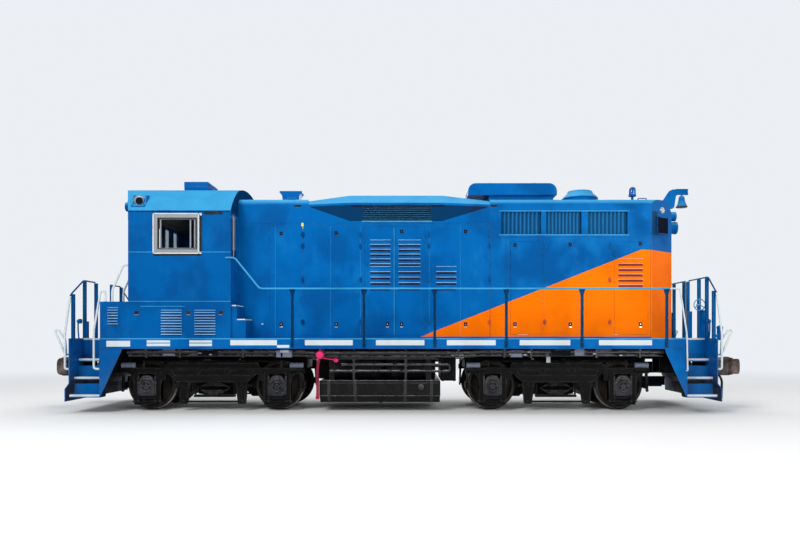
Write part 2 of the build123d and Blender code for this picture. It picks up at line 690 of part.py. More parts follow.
def hood_profile(x, foot, top, mode=Mode.ADD):
    """Adds a length of hood with rounded upper edges."""
    with BuildSketch(cross_plane(x[0])) as section:
        with Locations((0, (foot + top) / 2)):
            Rectangle(2 * HOOD_HALF, top - foot)
        fillet(section.vertices().group_by(Axis.Z)[-1], HOOD_R)
    extrude(section.sketch, amount=x[1] - x[0], mode=mode)


def side_window_rect(lip):
    """(X span, Z span) of the cab's side window, taken in by a lip."""
    return ((SIDE_WINDOW_X[0] + lip, SIDE_WINDOW_X[1] - lip),
            (SIDE_WINDOW_Z[0] + lip, SIDE_WINDOW_Z[1] - lip))


# Cab, from its base up to its roof
with BuildPart() as cab_base:
    for length, top in REAR_STEPS:
        block((CAB_X[1], CAB_X[1] + length), (REAR_DOOR_Y[0], HALF_W - 50), (DECK_TOP, top))
    louvres("cab_base", HALF_W)
    mirror(about=Plane.XZ)
    block(CAB_X, (-HALF_W, HALF_W), (DECK_TOP, CAB_FLOOR_Z))
finish(cab_base.part, "cab_base")

with BuildPart() as cab_side_walls:
    block(CAB_X, (HALF_W - CAB_WALL, HALF_W), (CAB_FLOOR_Z, EAVE_Z))
    block(CAB_X, (HALF_W, HALF_W + GUTTER), (EAVE_Z - GUTTER, EAVE_Z))
    block(SIDE_WINDOW_X, (HALF_W - CAB_WALL, HALF_W), SIDE_WINDOW_Z, mode=Mode.SUBTRACT)
    mirror(about=Plane.XZ)
finish(cab_side_walls.part, "cab_side_walls")

FRONT_HINGE = (CAB_X[0] - HINGE_OUT, -FRONT_DOOR_HALF + DOOR_GAP)
REAR_HINGE = (CAB_X[1] + HINGE_OUT, REAR_DOOR_Y[0] + DOOR_GAP)
inner_y = (-HALF_W + CAB_WALL, HALF_W - CAB_WALL)
front_wall_x = (CAB_X[0], CAB_X[0] + CAB_WALL)
with BuildPart() as cab_front_wall:
    block(front_wall_x, inner_y, (CAB_FLOOR_Z, EAVE_Z))
    block(front_wall_x, (-FRONT_DOOR_HALF, FRONT_DOOR_HALF), CAB_DOOR_Z, mode=Mode.SUBTRACT)
    for low, high in FRONT_GLASS_Y:
        block(front_wall_x, (low, high), FRONT_GLASS_Z, mode=Mode.SUBTRACT)
        block(front_wall_x, (-high, -low), FRONT_GLASS_Z, mode=Mode.SUBTRACT)
    wall_knuckles(FRONT_HINGE, (0, 1), (-1, 0), *CAB_DOOR_Z, 0)
finish(cab_front_wall.part, "cab_front_wall")

rear_wall_x = (CAB_X[1] - CAB_WALL, CAB_X[1])
with BuildPart() as cab_rear_wall:
    block(rear_wall_x, inner_y, (CAB_FLOOR_Z, EAVE_Z))
    for side in (-1, 1):
        block(rear_wall_x, sorted((side * REAR_DOOR_Y[0], side * REAR_DOOR_Y[1])), CAB_DOOR_Z,
              mode=Mode.SUBTRACT)
        wall_knuckles((REAR_HINGE[0], side * REAR_HINGE[1]), (0, side), (1, 0), *CAB_DOOR_Z, 0)
finish(cab_rear_wall.part, "cab_rear_wall")

with BuildPart() as cab_roof:
    arch_between((VISOR_X, CAB_X[1]), 0)
    plan_prism([(CAB_X[0], -HALF_W), (VISOR_X, -VISOR_HALF), (VISOR_X, VISOR_HALF), (CAB_X[0], HALF_W),
                (CAB_X[1], HALF_W), (CAB_X[1], -HALF_W)], (EAVE_Z, ROOF_PEAK), mode=Mode.INTERSECT)
    block(VENT_X, (-VENT_HALF, VENT_HALF), (ROOF_PEAK - CAB_WALL, ROOF_PEAK + VENT_RISE))
    arch_between((front_wall_x[1], rear_wall_x[0]), CAB_WALL, mode=Mode.SUBTRACT)
finish(cab_roof.part, "cab_roof")

with BuildPart() as cab_window_frames:
    (clear_x, clear_z) = side_window_rect(SASH_W)
    (flange_x, flange_z) = side_window_rect(-FRAME_LIP)
    block(SIDE_WINDOW_X, (HALF_W - CAB_WALL, HALF_W), SIDE_WINDOW_Z)
    block(flange_x, (HALF_W, HALF_W + FRAME_PROUD), flange_z)
    block(clear_x, (HALF_W - CAB_WALL, HALF_W + FRAME_PROUD), clear_z, mode=Mode.SUBTRACT)
    mirror(about=Plane.XZ)
finish(cab_window_frames.part, "cab_window_frames")

with BuildPart() as cab_glass:
    for low, high in FRONT_GLASS_Y:
        block((front_wall_x[0] + 25, front_wall_x[0] + 25 + GLASS_T), (low, high), FRONT_GLASS_Z)
    mirror(about=Plane.XZ)
finish(cab_glass.part, "cab_glass")

# Control stand and seats: (X span, Y span on each side, Z span) of the seats' pieces
SEAT = (((-4650, -4200), (850, 1300), (2720, 2820)), ((-4470, -4380), (1030, 1120), (CAB_FLOOR_Z, 2720)),
        ((-4250, -4180), (850, 1300), (2820, 3350)))
with BuildPart() as cab_interior:
    for seat_x, seat_y, seat_z in SEAT:
        block(seat_x, seat_y, seat_z)
    mirror(about=Plane.XZ)
    stand = [(-5300, CAB_FLOOR_Z), (-4900, CAB_FLOOR_Z), (-4900, 3000), (-5100, 3150), (-5300, 3150)]
    side_prism(stand, (-1300, -750))
finish(cab_interior.part, "cab_interior")

with BuildPart() as cab_front_door:
    leaf_y = (-FRONT_DOOR_HALF + DOOR_GAP, FRONT_DOOR_HALF - DOOR_GAP)
    block((CAB_X[0], CAB_X[0] + DOOR_T), leaf_y, (CAB_DOOR_Z[0] + DOOR_GAP, CAB_DOOR_Z[1] - DOOR_GAP))
    block((CAB_X[0], CAB_X[0] + DOOR_T), (leaf_y[0] + 90, leaf_y[1] - 90), DOOR_GLASS_Z, mode=Mode.SUBTRACT)
    leaf_knuckles(FRONT_HINGE, (0, 1), (-1, 0), *CAB_DOOR_Z)
finish(cab_front_door.part, "cab_front_door")

for name, side in (("near", -1), ("far", 1)):
    with BuildPart() as cab_rear_door:
        leaf_x = (CAB_X[1] - DOOR_T, CAB_X[1])
        leaf_y = sorted((side * (REAR_DOOR_Y[0] + DOOR_GAP), side * (REAR_DOOR_Y[1] - DOOR_GAP)))
        block(leaf_x, leaf_y, (CAB_DOOR_Z[0] + DOOR_GAP, CAB_DOOR_Z[1] - DOOR_GAP))
        block(leaf_x, (leaf_y[0] + 60, leaf_y[1] - 60), DOOR_GLASS_Z, mode=Mode.SUBTRACT)
        leaf_knuckles((REAR_HINGE[0], side * REAR_HINGE[1]), (0, side), (1, 0), *CAB_DOOR_Z)
    finish(cab_rear_door.part, f"cab_rear_door_{name}")

with BuildPart() as cab_front_landing:
    block(LOCKER_X, (LOCKER_Y, HALF_W), (DECK_TOP, LOCKER_TOP))
    louvres("locker", HALF_W)
    mirror(about=Plane.XZ)
    rise = (LOCKER_TOP - DECK_TOP) / LANDING_STEPS
    run = (LOCKER_X[1] - LOCKER_X[0]) / LANDING_STEPS
    for level in range(LANDING_STEPS):
        block((LOCKER_X[0] + level * run, LOCKER_X[1]), (-LOCKER_Y, LOCKER_Y),
              (DECK_TOP + level * rise, DECK_TOP + (level + 1) * rise))
finish(cab_front_landing.part, "cab_front_landing")


def leaf_hinge(left, right, hinge, side):
    """Axis of a hood leaf, the way its leaf runs from there and the way it faces."""
    x, run = (left + DOOR_GAP, 1) if hinge == "left" else (right - DOOR_GAP, -1)
    return (x, side * (HOOD_HALF + LEAF_PROUD + HINGE_OUT)), (run, 0), (0, side)


# Hood: walls with their leaves, roof sections, end and the engine inside
leaf_face = HOOD_HALF + LEAF_PROUD
with BuildPart() as hood_side_walls:
    wall = [(HOOD_X[0], DECK_TOP), (HOOD_X[1], DECK_TOP), (HOOD_X[1], RADIATOR_BOTTOM),
            (RADIATOR_X, RADIATOR_BOTTOM), (RADIATOR_X, SIDE_TOP), (HOOD_X[0], SIDE_TOP)]
    side_prism(wall, (HOOD_HALF - HOOD_WALL, HOOD_HALF))
    for name, left, right, foot, head, hinge, opens in LEAVES:
        if opens:
            block((left, right), (HOOD_HALF - HOOD_WALL, HOOD_HALF), (foot, head), mode=Mode.SUBTRACT)
            wall_knuckles(*leaf_hinge(left, right, hinge, 1), foot, head, LEAF_PROUD)
        else:
            block((left, right), (HOOD_HALF, leaf_face), (foot, head))
            louvres(name, leaf_face)
    mirror(about=Plane.XZ)
finish(hood_side_walls.part, "hood_side_walls")

for side_name, side in (("near", -1), ("far", 1)):
    for name, left, right, foot, head, hinge, opens in LEAVES:
        if not opens:
            continue
        with BuildPart() as leaf:
            depth = sorted((side * (leaf_face - DOOR_T), side * leaf_face))
            block((left + DOOR_GAP, right - DOOR_GAP), depth, (foot + DOOR_GAP, head - DOOR_GAP))
            louvres(name, leaf_face, side)
            leaf_knuckles(*leaf_hinge(left, right, hinge, side), foot, head)
        finish(leaf.part, f"hood_door_{name}_{side_name}")

with BuildPart() as hood_front_roof:
    hood_profile((HOOD_X[0], HATCH_X[0]), SIDE_TOP, HOOD_TOP)
finish(hood_front_roof.part, "hood_front_roof")


def face_through(first, second, third, inside):
    """Plane through three points, facing away from the point inside."""
    corner, other = Vector(*second) - Vector(*first), Vector(*third) - Vector(*first)
    normal = corner.cross(other)
    if normal.dot(Vector(*inside) - Vector(*first)) > 0:
        normal = normal * -1
    return Plane(origin=first, x_dir=corner, z_dir=normal)


# The brake hatch flares out over its side grilles and tapers back into the hood at each end
lip_y = HOOD_HALF + HATCH_OUT
hatch_middle = ((HATCH_X[1] + HATCH_X[2]) / 2, 0, HATCH_LIP[0])
with BuildPart() as brake_hatch:
    block((HATCH_X[0], HATCH_X[3]), (-lip_y, lip_y), (SIDE_TOP, HATCH_CROWN[1]))
    for side in (-1, 1):
        for near, far in ((HATCH_X[1], HATCH_X[2]), (HATCH_X[1], HATCH_X[0]), (HATCH_X[2], HATCH_X[3])):
            tapers = far != HATCH_X[2]
            lip_end = (far, side * (HOOD_HALF if tapers else lip_y), HATCH_LIP[1])
            foot = (near, side * HOOD_HALF, HATCH_FOOT)
            lip = (near, side * lip_y, HATCH_LIP[0])
            brow = (near, side * lip_y, HATCH_LIP[1])
            shoulder = (near, side * HATCH_SHOULDER[0], HATCH_SHOULDER[1])
            crown = (near, side * HATCH_CROWN[0], HATCH_CROWN[1])
            crown_end = (far, crown[1], HOOD_TOP if tapers else HATCH_CROWN[1])
            soffit_end = (*lip_end[:2], HATCH_LIP[0])
            for face in ((foot, lip, soffit_end), (lip, brow, soffit_end), (brow, shoulder, lip_end),
                         (shoulder, crown, crown_end)):
                split(bisect_by=face_through(*face, hatch_middle), keep=Keep.BOTTOM)
    for near, far in ((HATCH_X[1], HATCH_X[0]), (HATCH_X[2], HATCH_X[3])):
        half, top = HATCH_CROWN
        ridge = ((near, -half, top), (near, half, top), (far, half, HOOD_TOP))
        split(bisect_by=face_through(*ridge, hatch_middle), keep=Keep.BOTTOM)
    block((HATCH_X[0], HATCH_X[3]), (-HOOD_HALF, HOOD_HALF), (SIDE_TOP, HATCH_LIP[1]))
    rise = HATCH_LIP[0] - HATCH_FOOT
    slant = Vector(0, HATCH_OUT, rise)
    bar_pitch = slant.length * 0.94 / GRILLE_BARS
    for side in (-1, 1):
        wall = Plane(origin=(sum(GRILLE_X) / 2, side * (HOOD_HALF + HATCH_OUT / 2), HATCH_FOOT + rise / 2),
                     x_dir=(1, 0, 0), z_dir=(0, side * rise, -HATCH_OUT))
        with BuildSketch(wall) as opening:
            Rectangle(GRILLE_X[1] - GRILLE_X[0], slant.length * 0.94)
        extrude(opening.sketch, amount=-GRILLE_DEPTH, mode=Mode.SUBTRACT)
        with BuildSketch(wall) as bars:
            with GridLocations(0, bar_pitch, 1, GRILLE_BARS):
                Rectangle(GRILLE_X[1] - GRILLE_X[0], 0.4 * bar_pitch)
        extrude(bars.sketch, amount=-GRILLE_DEPTH)
finish(brake_hatch.part, "brake_hatch")

with BuildPart() as radiator_hatch:
    hood_profile((RADIATOR_X, HOOD_X[1]), RADIATOR_BOTTOM, HOOD_TOP)
    for bay in SHUTTER_X:
        for side in (-1, 1):
            depth = sorted((side * HOOD_HALF, side * (HOOD_HALF - SHUTTER_DEPTH)))
            block(bay, depth, SHUTTER_Z, mode=Mode.SUBTRACT)
finish(radiator_hatch.part, "radiator_hatch")

with BuildPart() as radiator_shutters:
    for low, high in SHUTTER_X:
        pitch = (high - low) / (SHUTTER_SLATS + 1)
        for slat in range(1, SHUTTER_SLATS + 1):
            x = low + pitch * slat
            back = HOOD_HALF - SHUTTER_DEPTH
            plan_prism([(x - 20, back), (x + 20, back), (x, HOOD_HALF - 4)], SHUTTER_Z)
    mirror(about=Plane.XZ)
finish(radiator_shutters.part, "radiator_shutters")

with BuildPart() as hood_end:
    plan = [(HOOD_X[1], HOOD_HALF), (NOSE_X, HOOD_HALF), (NOSE_END, NOSE_FLAT)]
    plan_prism(plan + [(x, -y) for x, y in reversed(plan)], (DECK_TOP, HOOD_TOP))
    brow = [(NOSE_END - back, z) for back, z in NOSE_BROW]
    side_prism([(HOOD_X[1], DECK_TOP), (NOSE_END, DECK_TOP), *brow, (HOOD_X[1], HOOD_TOP)],
               (-HOOD_HALF, HOOD_HALF), mode=Mode.INTERSECT)
    hood_profile((HOOD_X[1], NOSE_END), DECK_TOP, HOOD_TOP, mode=Mode.INTERSECT)
    for side in (-1, 1):
        cheek = Plane(origin=((NOSE_X + NOSE_END) / 2, side * (HOOD_HALF + NOSE_FLAT) / 2, sum(BOARD_Z) / 2),
                      x_dir=(0, 0, 1), z_dir=(HOOD_HALF - NOSE_FLAT, side * (NOSE_END - NOSE_X), 0))
        with BuildSketch(cheek) as board:
            Rectangle(BOARD_Z[1] - BOARD_Z[0], BOARD_W)
        extrude(board.sketch, amount=BOARD_T)
finish(hood_end.part, "hood_end")

with BuildPart() as engine_block:
    block(ENGINE_X, (-ENGINE_HALF, ENGINE_HALF), (DECK_TOP, ENGINE_TOP))
finish(engine_block.part, "engine_block")

# Roof cover, radiator fan, exhaust stack and beacon
with BuildPart() as roof_fittings:
    block((RADIATOR_X + 10, COVER_X[1] - 60), (-COVER_HALF + 90, COVER_HALF - 90), (HOOD_TOP, COVER_Z[0]))
    rounded_side_prism([(COVER_X[0], COVER_Z[0], 0), (COVER_X[1], COVER_Z[0], 0),
                        (COVER_X[1], COVER_Z[1], COVER_R), (COVER_X[0], COVER_Z[1], COVER_R)],
                       (-COVER_HALF, COVER_HALF))
    flatted_turning(FAN_X, [(FAN_R, HOOD_TOP), (FAN_R, FAN_Z[0]), (FAN_R - 120, FAN_Z[1])], sides=20)
    side_prism([(STACK_X[0], HOOD_TOP), (STACK_X[1], HOOD_TOP), (STACK_X[1], STACK_Z[0]),
                (STACK_X[1] + STACK_FLARE, STACK_Z[1]), (STACK_X[0] - STACK_FLARE, STACK_Z[1]),
                (STACK_X[0], STACK_Z[0])], (-STACK_HALF, STACK_HALF))
    flatted_rod((BEACON_X, 0, HOOD_TOP), (BEACON_X, 0, BEACON_Z[0]), BEACON_R / 3)
    flatted_rod((BEACON_X, 0, BEACON_Z[0]), (BEACON_X, 0, BEACON_Z[1]), BEACON_R, sides=10)
finish(roof_fittings.part, "roof_fittings")

with BuildPart() as headlamps:
    case_z, case_half, case_out = LAMP_CASE
    block((NOSE_END, NOSE_END + case_out), (-case_half, case_half), (case_z[0], NOSE_BROW[0][1]))
    hood_foot = NOSE_BROW[0][1]
    side_prism([(NOSE_END, hood_foot), (NOSE_END + case_out, hood_foot), (NOSE_END + case_out, case_z[1]),
                (NOSE_END - NOSE_BROW[1][0], NOSE_BROW[1][1])], (-case_half, case_half))
    for z, radius, reach in LAMPS:
        flatted_rod((NOSE_END + case_out, 0, z), (NOSE_END + reach, 0, z), radius, sides=16)
    case_z, case_half, case_out = VISOR_CASE
    block((VISOR_X - case_out, VISOR_X), (-case_half, case_half), case_z)
    for y in (-case_half / 2, case_half / 2):
        z = sum(case_z) / 2
        flatted_rod((VISOR_X - case_out, y, z), (VISOR_X - 2 * case_out, y, z), VISOR_LAMP_R, sides=16)
finish(headlamps.part, "headlamps")

with BuildPart() as bell:
    arm_y = (-BELL_ARM_T / 2, BELL_ARM_T / 2)
    foot = NOSE_END - NOSE_BROW[2][0]
    arm = [(foot - 60, HOOD_TOP, 0), (foot, HOOD_TOP, 0), (foot + 390, BELL_Z[0] - 34, 0),
           (foot + 435, BELL_Z[0] + 2, 0), (BELL_X - 125, BELL_Z[1] + 25, 90),
           (BELL_X + 145, BELL_Z[1] + 22, 0), (BELL_X + 135, BELL_Z[1] + 147, 0),
           (BELL_X - 239, BELL_Z[1] + 147, 0), (foot + 185, BELL_Z[1] - 91, 0)]
    rounded_side_prism(arm, arm_y)
    block((foot - 110, foot), (-60, 60), (HOOD_TOP, HOOD_TOP + 12))
    height = BELL_Z[1] - BELL_Z[0]
    cup = [(BELL_R, BELL_Z[0]), (0.68 * BELL_R, BELL_Z[0] + 0.22 * height),
           (0.5 * BELL_R, BELL_Z[0] + 0.6 * height), (0.36 * BELL_R, BELL_Z[1])]
    flatted_turning(BELL_X, cup, sides=16)
    flatted_rod((BELL_X, 0, BELL_Z[1]), (BELL_X, 0, BELL_Z[1] + 30), 20)
finish(bell.part, "bell")

# Fuel tank and pipes
with BuildPart() as fuel_tank:
    section = [(TANK_HALF, TANK_Z[0] + TANK_CHAMFER), (TANK_HALF, TANK_Z[1]), (-TANK_HALF, TANK_Z[1]),
               (-TANK_HALF, TANK_Z[0] + TANK_CHAMFER), (-TANK_HALF + TANK_CHAMFER, TANK_Z[0]),
               (TANK_HALF - TANK_CHAMFER, TANK_Z[0])]
    cross_prism(section, TANK_X)
    for x in (BEARERS[2], BEARERS[3]):
        for side in (-1, 1):
            hanger = sorted((side * (CENTRE_Y + 30), side * (TANK_HALF - 100)))
            block((x - 50, x + 50), hanger, (TANK_Z[1], SILL_BOTTOM))
finish(fuel_tank.part, "fuel_tank")

with BuildPart() as tank_pipes:
    tube([(TANK_X[0] + 400, PIPE_Y, PIPE_Z[2]), (TANK_X[1] - 67, PIPE_Y, PIPE_Z[2])], PIPE_D)
    tube([(TANK_X[0] + 480, PIPE_Y, PIPE_Z[1]), (PIPE_BEND_X, PIPE_Y, PIPE_Z[1]),
          (PIPE_BEND_X, PIPE_Y, PIPE_Z[0]), (TANK_X[0] + 240, PIPE_Y, PIPE_Z[0])], PIPE_D)
    for x in CLAMPS:
        block((x - 20, x + 20), (PIPE_Y - 30, PIPE_Y + 10), (TANK_Z[1], SILL_BOTTOM))
    mirror(about=Plane.XZ)
finish(tank_pipes.part, "tank_pipes")


# Handrails
with BuildPart() as side_handrails:
    y = RAIL_Y
    rail_start = (CAB_X[1] + 88, STAIR_RAIL_Z[1] + 145)
    drop_x = REAR_WELL - 150
    tube([(CAB_X[1] - 98, y, rail_start[1]), (rail_start[0], y, rail_start[1]), (CAB_X[1] + 596, y, RAIL_Z),
          (drop_x, y, RAIL_Z), (drop_x + 140, y, GRAB_KNEE), (drop_x + 157, y, GRAB_FOOT)], RAIL_D)
    for x, z in ((CAB_X[1] - 60, rail_start[1]), (drop_x + 157, GRAB_FOOT + 60)):
        flatted_rod((x, HALF_W, z), (x, y, z), RAIL_D / 2 - 3)
    for x in RAIL_POSTS:
        half = POST_W / 2
        post = [(x - half, SILL_BOTTOM), (x + half, SILL_BOTTOM), (x + half, RAIL_Z - 90),
                (x + half + POST_FLARE, RAIL_Z), (x - half - POST_FLARE, RAIL_Z), (x - half, RAIL_Z - 90)]
        side_prism(post, (HALF_W, HALF_W + POST_T))
    mirror(about=Plane.XZ)
finish(side_handrails.part, "side_handrails")

for name, end, sign in ENDS:
    x = end - sign * END_SHEET / 2
    posts = [(HALF_W - inward, top) for inward, top in END_POSTS[name]]
    with BuildPart() as end_rails:
        tube([(x, HALF_W - GRAB_IN, posts[0][1] - 60), *[(x, y, top) for y, top in posts]], RAIL_D)
        for y, top in posts:
            block((x - POST_T / 2, x + POST_T / 2), (y - END_POST_W / 2, y + END_POST_W / 2), (DECK_TOP, top))
        grab_y = HALF_W - GRAB_IN
        tube([(x, grab_y, posts[0][1] - 60), (end + sign * GRAB_OUT, grab_y, GRAB_KNEE),
              (end + sign * GRAB_OUT, grab_y, GRAB_FOOT), (end, grab_y, GRAB_FOOT)], RAIL_D)
        mirror(about=Plane.XZ)
    finish(end_rails.part, f"{name}_end_rails")

with BuildPart() as stair_rails:
    for y in (LOCKER_Y + GRAB_IN, HALF_W - GRAB_IN):
        tube([(LOCKER_X[0] + 232, y, LOCKER_TOP), (LOCKER_X[0] + 232, y, STAIR_RAIL_Z[0]),
              (LOCKER_X[0] + 460, y, STAIR_RAIL_Z[1]), (CAB_X[0], y, STAIR_RAIL_Z[1])], RAIL_D)
    y = HALF_W - GRAB_IN
    tube([(LOCKER_X[0] + 90, y, LOCKER_TOP), (LOCKER_X[0] + 90, y, LOCKER_TOP + 220),
          (LOCKER_X[0] - 5, y, LOCKER_TOP + 220), (FRONT_WELL - 147, y, GRAB_KNEE + 54),
          (FRONT_WELL - 147, y, GRAB_FOOT), (FRONT_WELL - TREAD_T, y, GRAB_FOOT)], RAIL_D)
    mirror(about=Plane.XZ)
finish(stair_rails.part, "stair_rails")
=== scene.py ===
from functools import partialmethod
from math import cos, radians, sin

import bmesh
import bpy
from mathutils import Matrix, Vector


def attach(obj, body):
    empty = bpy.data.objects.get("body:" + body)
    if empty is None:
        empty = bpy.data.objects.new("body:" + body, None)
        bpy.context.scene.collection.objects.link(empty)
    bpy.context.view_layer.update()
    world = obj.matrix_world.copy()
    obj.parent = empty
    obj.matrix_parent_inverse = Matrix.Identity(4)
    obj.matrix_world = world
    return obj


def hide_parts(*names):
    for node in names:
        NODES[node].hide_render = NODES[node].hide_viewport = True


# Looks of a four-axle diesel locomotive. Metres, in the row frame: X along the length (cab end
# at -X), Y across (the near side is -Y), Z up from the lowest point of the wheel flanges.

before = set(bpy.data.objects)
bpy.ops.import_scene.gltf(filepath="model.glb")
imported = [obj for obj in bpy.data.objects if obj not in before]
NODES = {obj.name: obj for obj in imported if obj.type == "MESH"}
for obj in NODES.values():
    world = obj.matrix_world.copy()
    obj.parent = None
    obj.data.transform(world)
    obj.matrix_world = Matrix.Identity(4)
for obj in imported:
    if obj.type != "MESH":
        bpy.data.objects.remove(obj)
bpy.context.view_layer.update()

# The picture: an 800 x 540 frame, the camera level with the horizon below the middle
PICTURE_W = 800
FOCAL_PX = 686
SENSOR = 36
CAMERA_AT = (0.25, -15.55, 1.608)
SHIFT_PX = (-10, 65)
WORLD_COLOUR = (0.93, 0.96, 1.0)
WORLD_SEEN = 0.9
WORLD_LIT = 0.45
# Lamps: place, aim, diameter and power
LAMPS = {
    "key": ((-9, -17, 15), (0, 0, 1.5), 9, 2850),
    "fill": ((10, -18, 6), (1, 0, 2), 10, 1450),
    "top": ((0, 2, 17), (0, 0, 2), 14, 1500),
    "back": ((3, 16, 10), (0, 0, 2), 12, 900),
}

# Colours, as linear values
BLUE = (0.0003, 0.1, 0.345)
BLUE_DEEP = (0.0003, 0.06, 0.23)
BLUE_PALE = (0.004, 0.16, 0.45)
CAB_BLUE = (0.0003, 0.082, 0.29)
CAB_DEEP = (0.0003, 0.05, 0.2)
# Painted sky reflection: the pale tone of high faces turned to the sky
SKY_SHEEN = (0.04, 0.28, 0.51)
# Worn, chalky edges, which also paint highlights along sharp edges
CHALK_AND_GLINT = (0.2, 0.4, 0.55)
ORANGE = (0.93, 0.157, 0.001)
ORANGE_DEEP = (0.84, 0.136, 0.001)
WHITE = (0.54, 0.61, 0.64)
SHADE = (0.002, 0.035, 0.11)
# Painted shade behind the side grille and in the openings under the louvres
SCREEN_SHADE = (0.016, 0.012, 0.038)
BLACK = (0.004, 0.004, 0.004)
# Soot on black parts, also the stained tone of painted shade under the deck
SOOT_AND_SHADE = (0.009, 0.0088, 0.0085)
DUST = (0.06, 0.055, 0.048)
# Bare metal on worn edges, also painting highlights along them
BARE_EDGE_AND_GLINT = (0.15, 0.15, 0.16)
BLUE_GLOSS = (0.06, 0.5, 1.0)
ORANGE_GLOSS = (1.0, 0.5, 0.03)
RED_GLOSS = (1, 0.6, 0.7)
PLAIN_GLOSS = (1, 1, 1)

# The orange field of the hood: (X, Z) where its edge leaves the deck, (X, Z) of its top, and the slope
# from there to the end
LIVERY_FOOT = (0.391, 1.537)
LIVERY_TOP = (5.189, 3.432)
LIVERY_RISE = (LIVERY_TOP[1] - LIVERY_FOOT[1]) / (LIVERY_TOP[0] - LIVERY_FOOT[0])
LIVERY_END_SLOPE = -0.039

# Sizes taken from the CAD frame
HALF_W = 1.55
HOOD_HALF = 0.9
HOOD_TOP = 4.52
LEAF_FACE = 0.905
DECK_TOP = 1.541
SILL_BOTTOM = 1.326
FRONT_END = -6.72
REAR_END = 6.54
WELL = 0.64
WELL_Y = 0.95
TRUCK_X = {"front": -3.92, "rear": 3.36}
AXLE_OUT = 1.3715
AXLE_Z = 0.536
AXLES = [x + side * AXLE_OUT for x in TRUCK_X.values() for side in (-1, 1)]
FRAME_FACE = 1.075
GRILLE_MIDDLE = -0.028
GRILLE_HALF = 0.726

SHARP_DEG = 35
BEND_STEPS = 5

# Sides and ends by name, with their directions along Y and X
SIDES = (("near", -1), ("far", 1))
ENDS = (("front", FRONT_END, -1), ("rear", REAR_END, 1))
# Places for Piece.moved: (X, direction along X, direction along Y)
ALONG = ((0, 1, 1), (0, -1, 1))
ACROSS = ((0, 1, 1), (0, 1, -1))
AT_ENDS = ((REAR_END, 1, 1), (FRONT_END, -1, 1))
MIDDLE = (1,)


def setup_camera():
    camera = bpy.data.objects.new("camera", bpy.data.cameras.new("camera"))
    bpy.context.scene.collection.objects.link(camera)
    camera.location = CAMERA_AT
    camera.rotation_euler = (radians(90), 0, 0)
    camera.data.sensor_width = SENSOR
    camera.data.lens = FOCAL_PX / PICTURE_W * SENSOR
    camera.data.shift_x, camera.data.shift_y = (shift / PICTURE_W for shift in SHIFT_PX)
    camera.data.clip_end = 200
    bpy.context.scene.camera = camera


def setup_light():
    """A soft studio: a pale world, a broad key from the upper left and a weaker fill from the right."""
    world = bpy.data.worlds.new("studio")
    bpy.context.scene.world = world
    world.use_nodes = True
    nodes = Nodes(world.node_tree)
    rays = [Value(nodes, nodes.node("LightPath").outputs[f"Is {kind} Ray"])
            for kind in ("Camera", "Transmission", "Glossy")]
    background = nodes.tree.nodes["Background"]
    strength = nodes.node("MapRange", {"Value": rays[0] | rays[1] | rays[2], "To Min": WORLD_LIT,
                                       "To Max": WORLD_SEEN})
    nodes.put(background.inputs["Strength"], Value(nodes, strength.outputs[0]))
    nodes.put(background.inputs["Color"], WORLD_COLOUR)
    for name, (at, aim, size, power) in LAMPS.items():
        lamp = bpy.data.lights.new(name, "AREA")
        lamp.shape = "DISK"
        lamp.size = size
        lamp.energy = power
        holder = bpy.data.objects.new(name, lamp)
        bpy.context.scene.collection.objects.link(holder)
        holder.location = at
        holder.rotation_euler = (Vector(aim) - Vector(at)).to_track_quat("-Z", "Y").to_euler()


class Value:
    """A number in a node tree. Arithmetic adds nodes: | is the larger of two, & the smaller, and < and >
    give 1 where they hold and 0 elsewhere."""

    def __init__(self, nodes, socket):
        self.nodes, self.socket = nodes, socket

    def operate(self, operation, other=0.0):
        return Value(self.nodes, self.nodes.node("Math", {0: self, 1: other}, operation=operation).outputs[0])

    __add__ = partialmethod(operate, "ADD")
    __sub__ = partialmethod(operate, "SUBTRACT")
    __mul__ = partialmethod(operate, "MULTIPLY")
    __pow__ = partialmethod(operate, "POWER")
    __lt__ = partialmethod(operate, "LESS_THAN")
    __gt__ = partialmethod(operate, "GREATER_THAN")
    __and__ = partialmethod(operate, "MINIMUM")
    __or__ = partialmethod(operate, "MAXIMUM")
    __abs__ = partialmethod(operate, "ABSOLUTE")


class Nodes:
    """A node tree, with short calls that add to it."""

    def __init__(self, tree):
        self.tree = tree

    def node(self, kind, inputs=None, **values):
        """A node of that kind, with attributes set from values and its inputs linked or set."""
        made = self.tree.nodes.new("ShaderNode" + kind)
        for name, value in values.items():
            setattr(made, name, value)
        for name, value in (inputs or {}).items():
            self.put(made.inputs[name], value)
        return made

    def put(self, socket, value):
        if isinstance(value, Value):
            value = value.socket
        if isinstance(value, bpy.types.NodeSocket):
            self.tree.links.new(value, socket)
        elif hasattr(value, "__len__") and len(value) == 3 and socket.type == "RGBA":
            socket.default_value = (*value, 1)
        else:
            socket.default_value = value


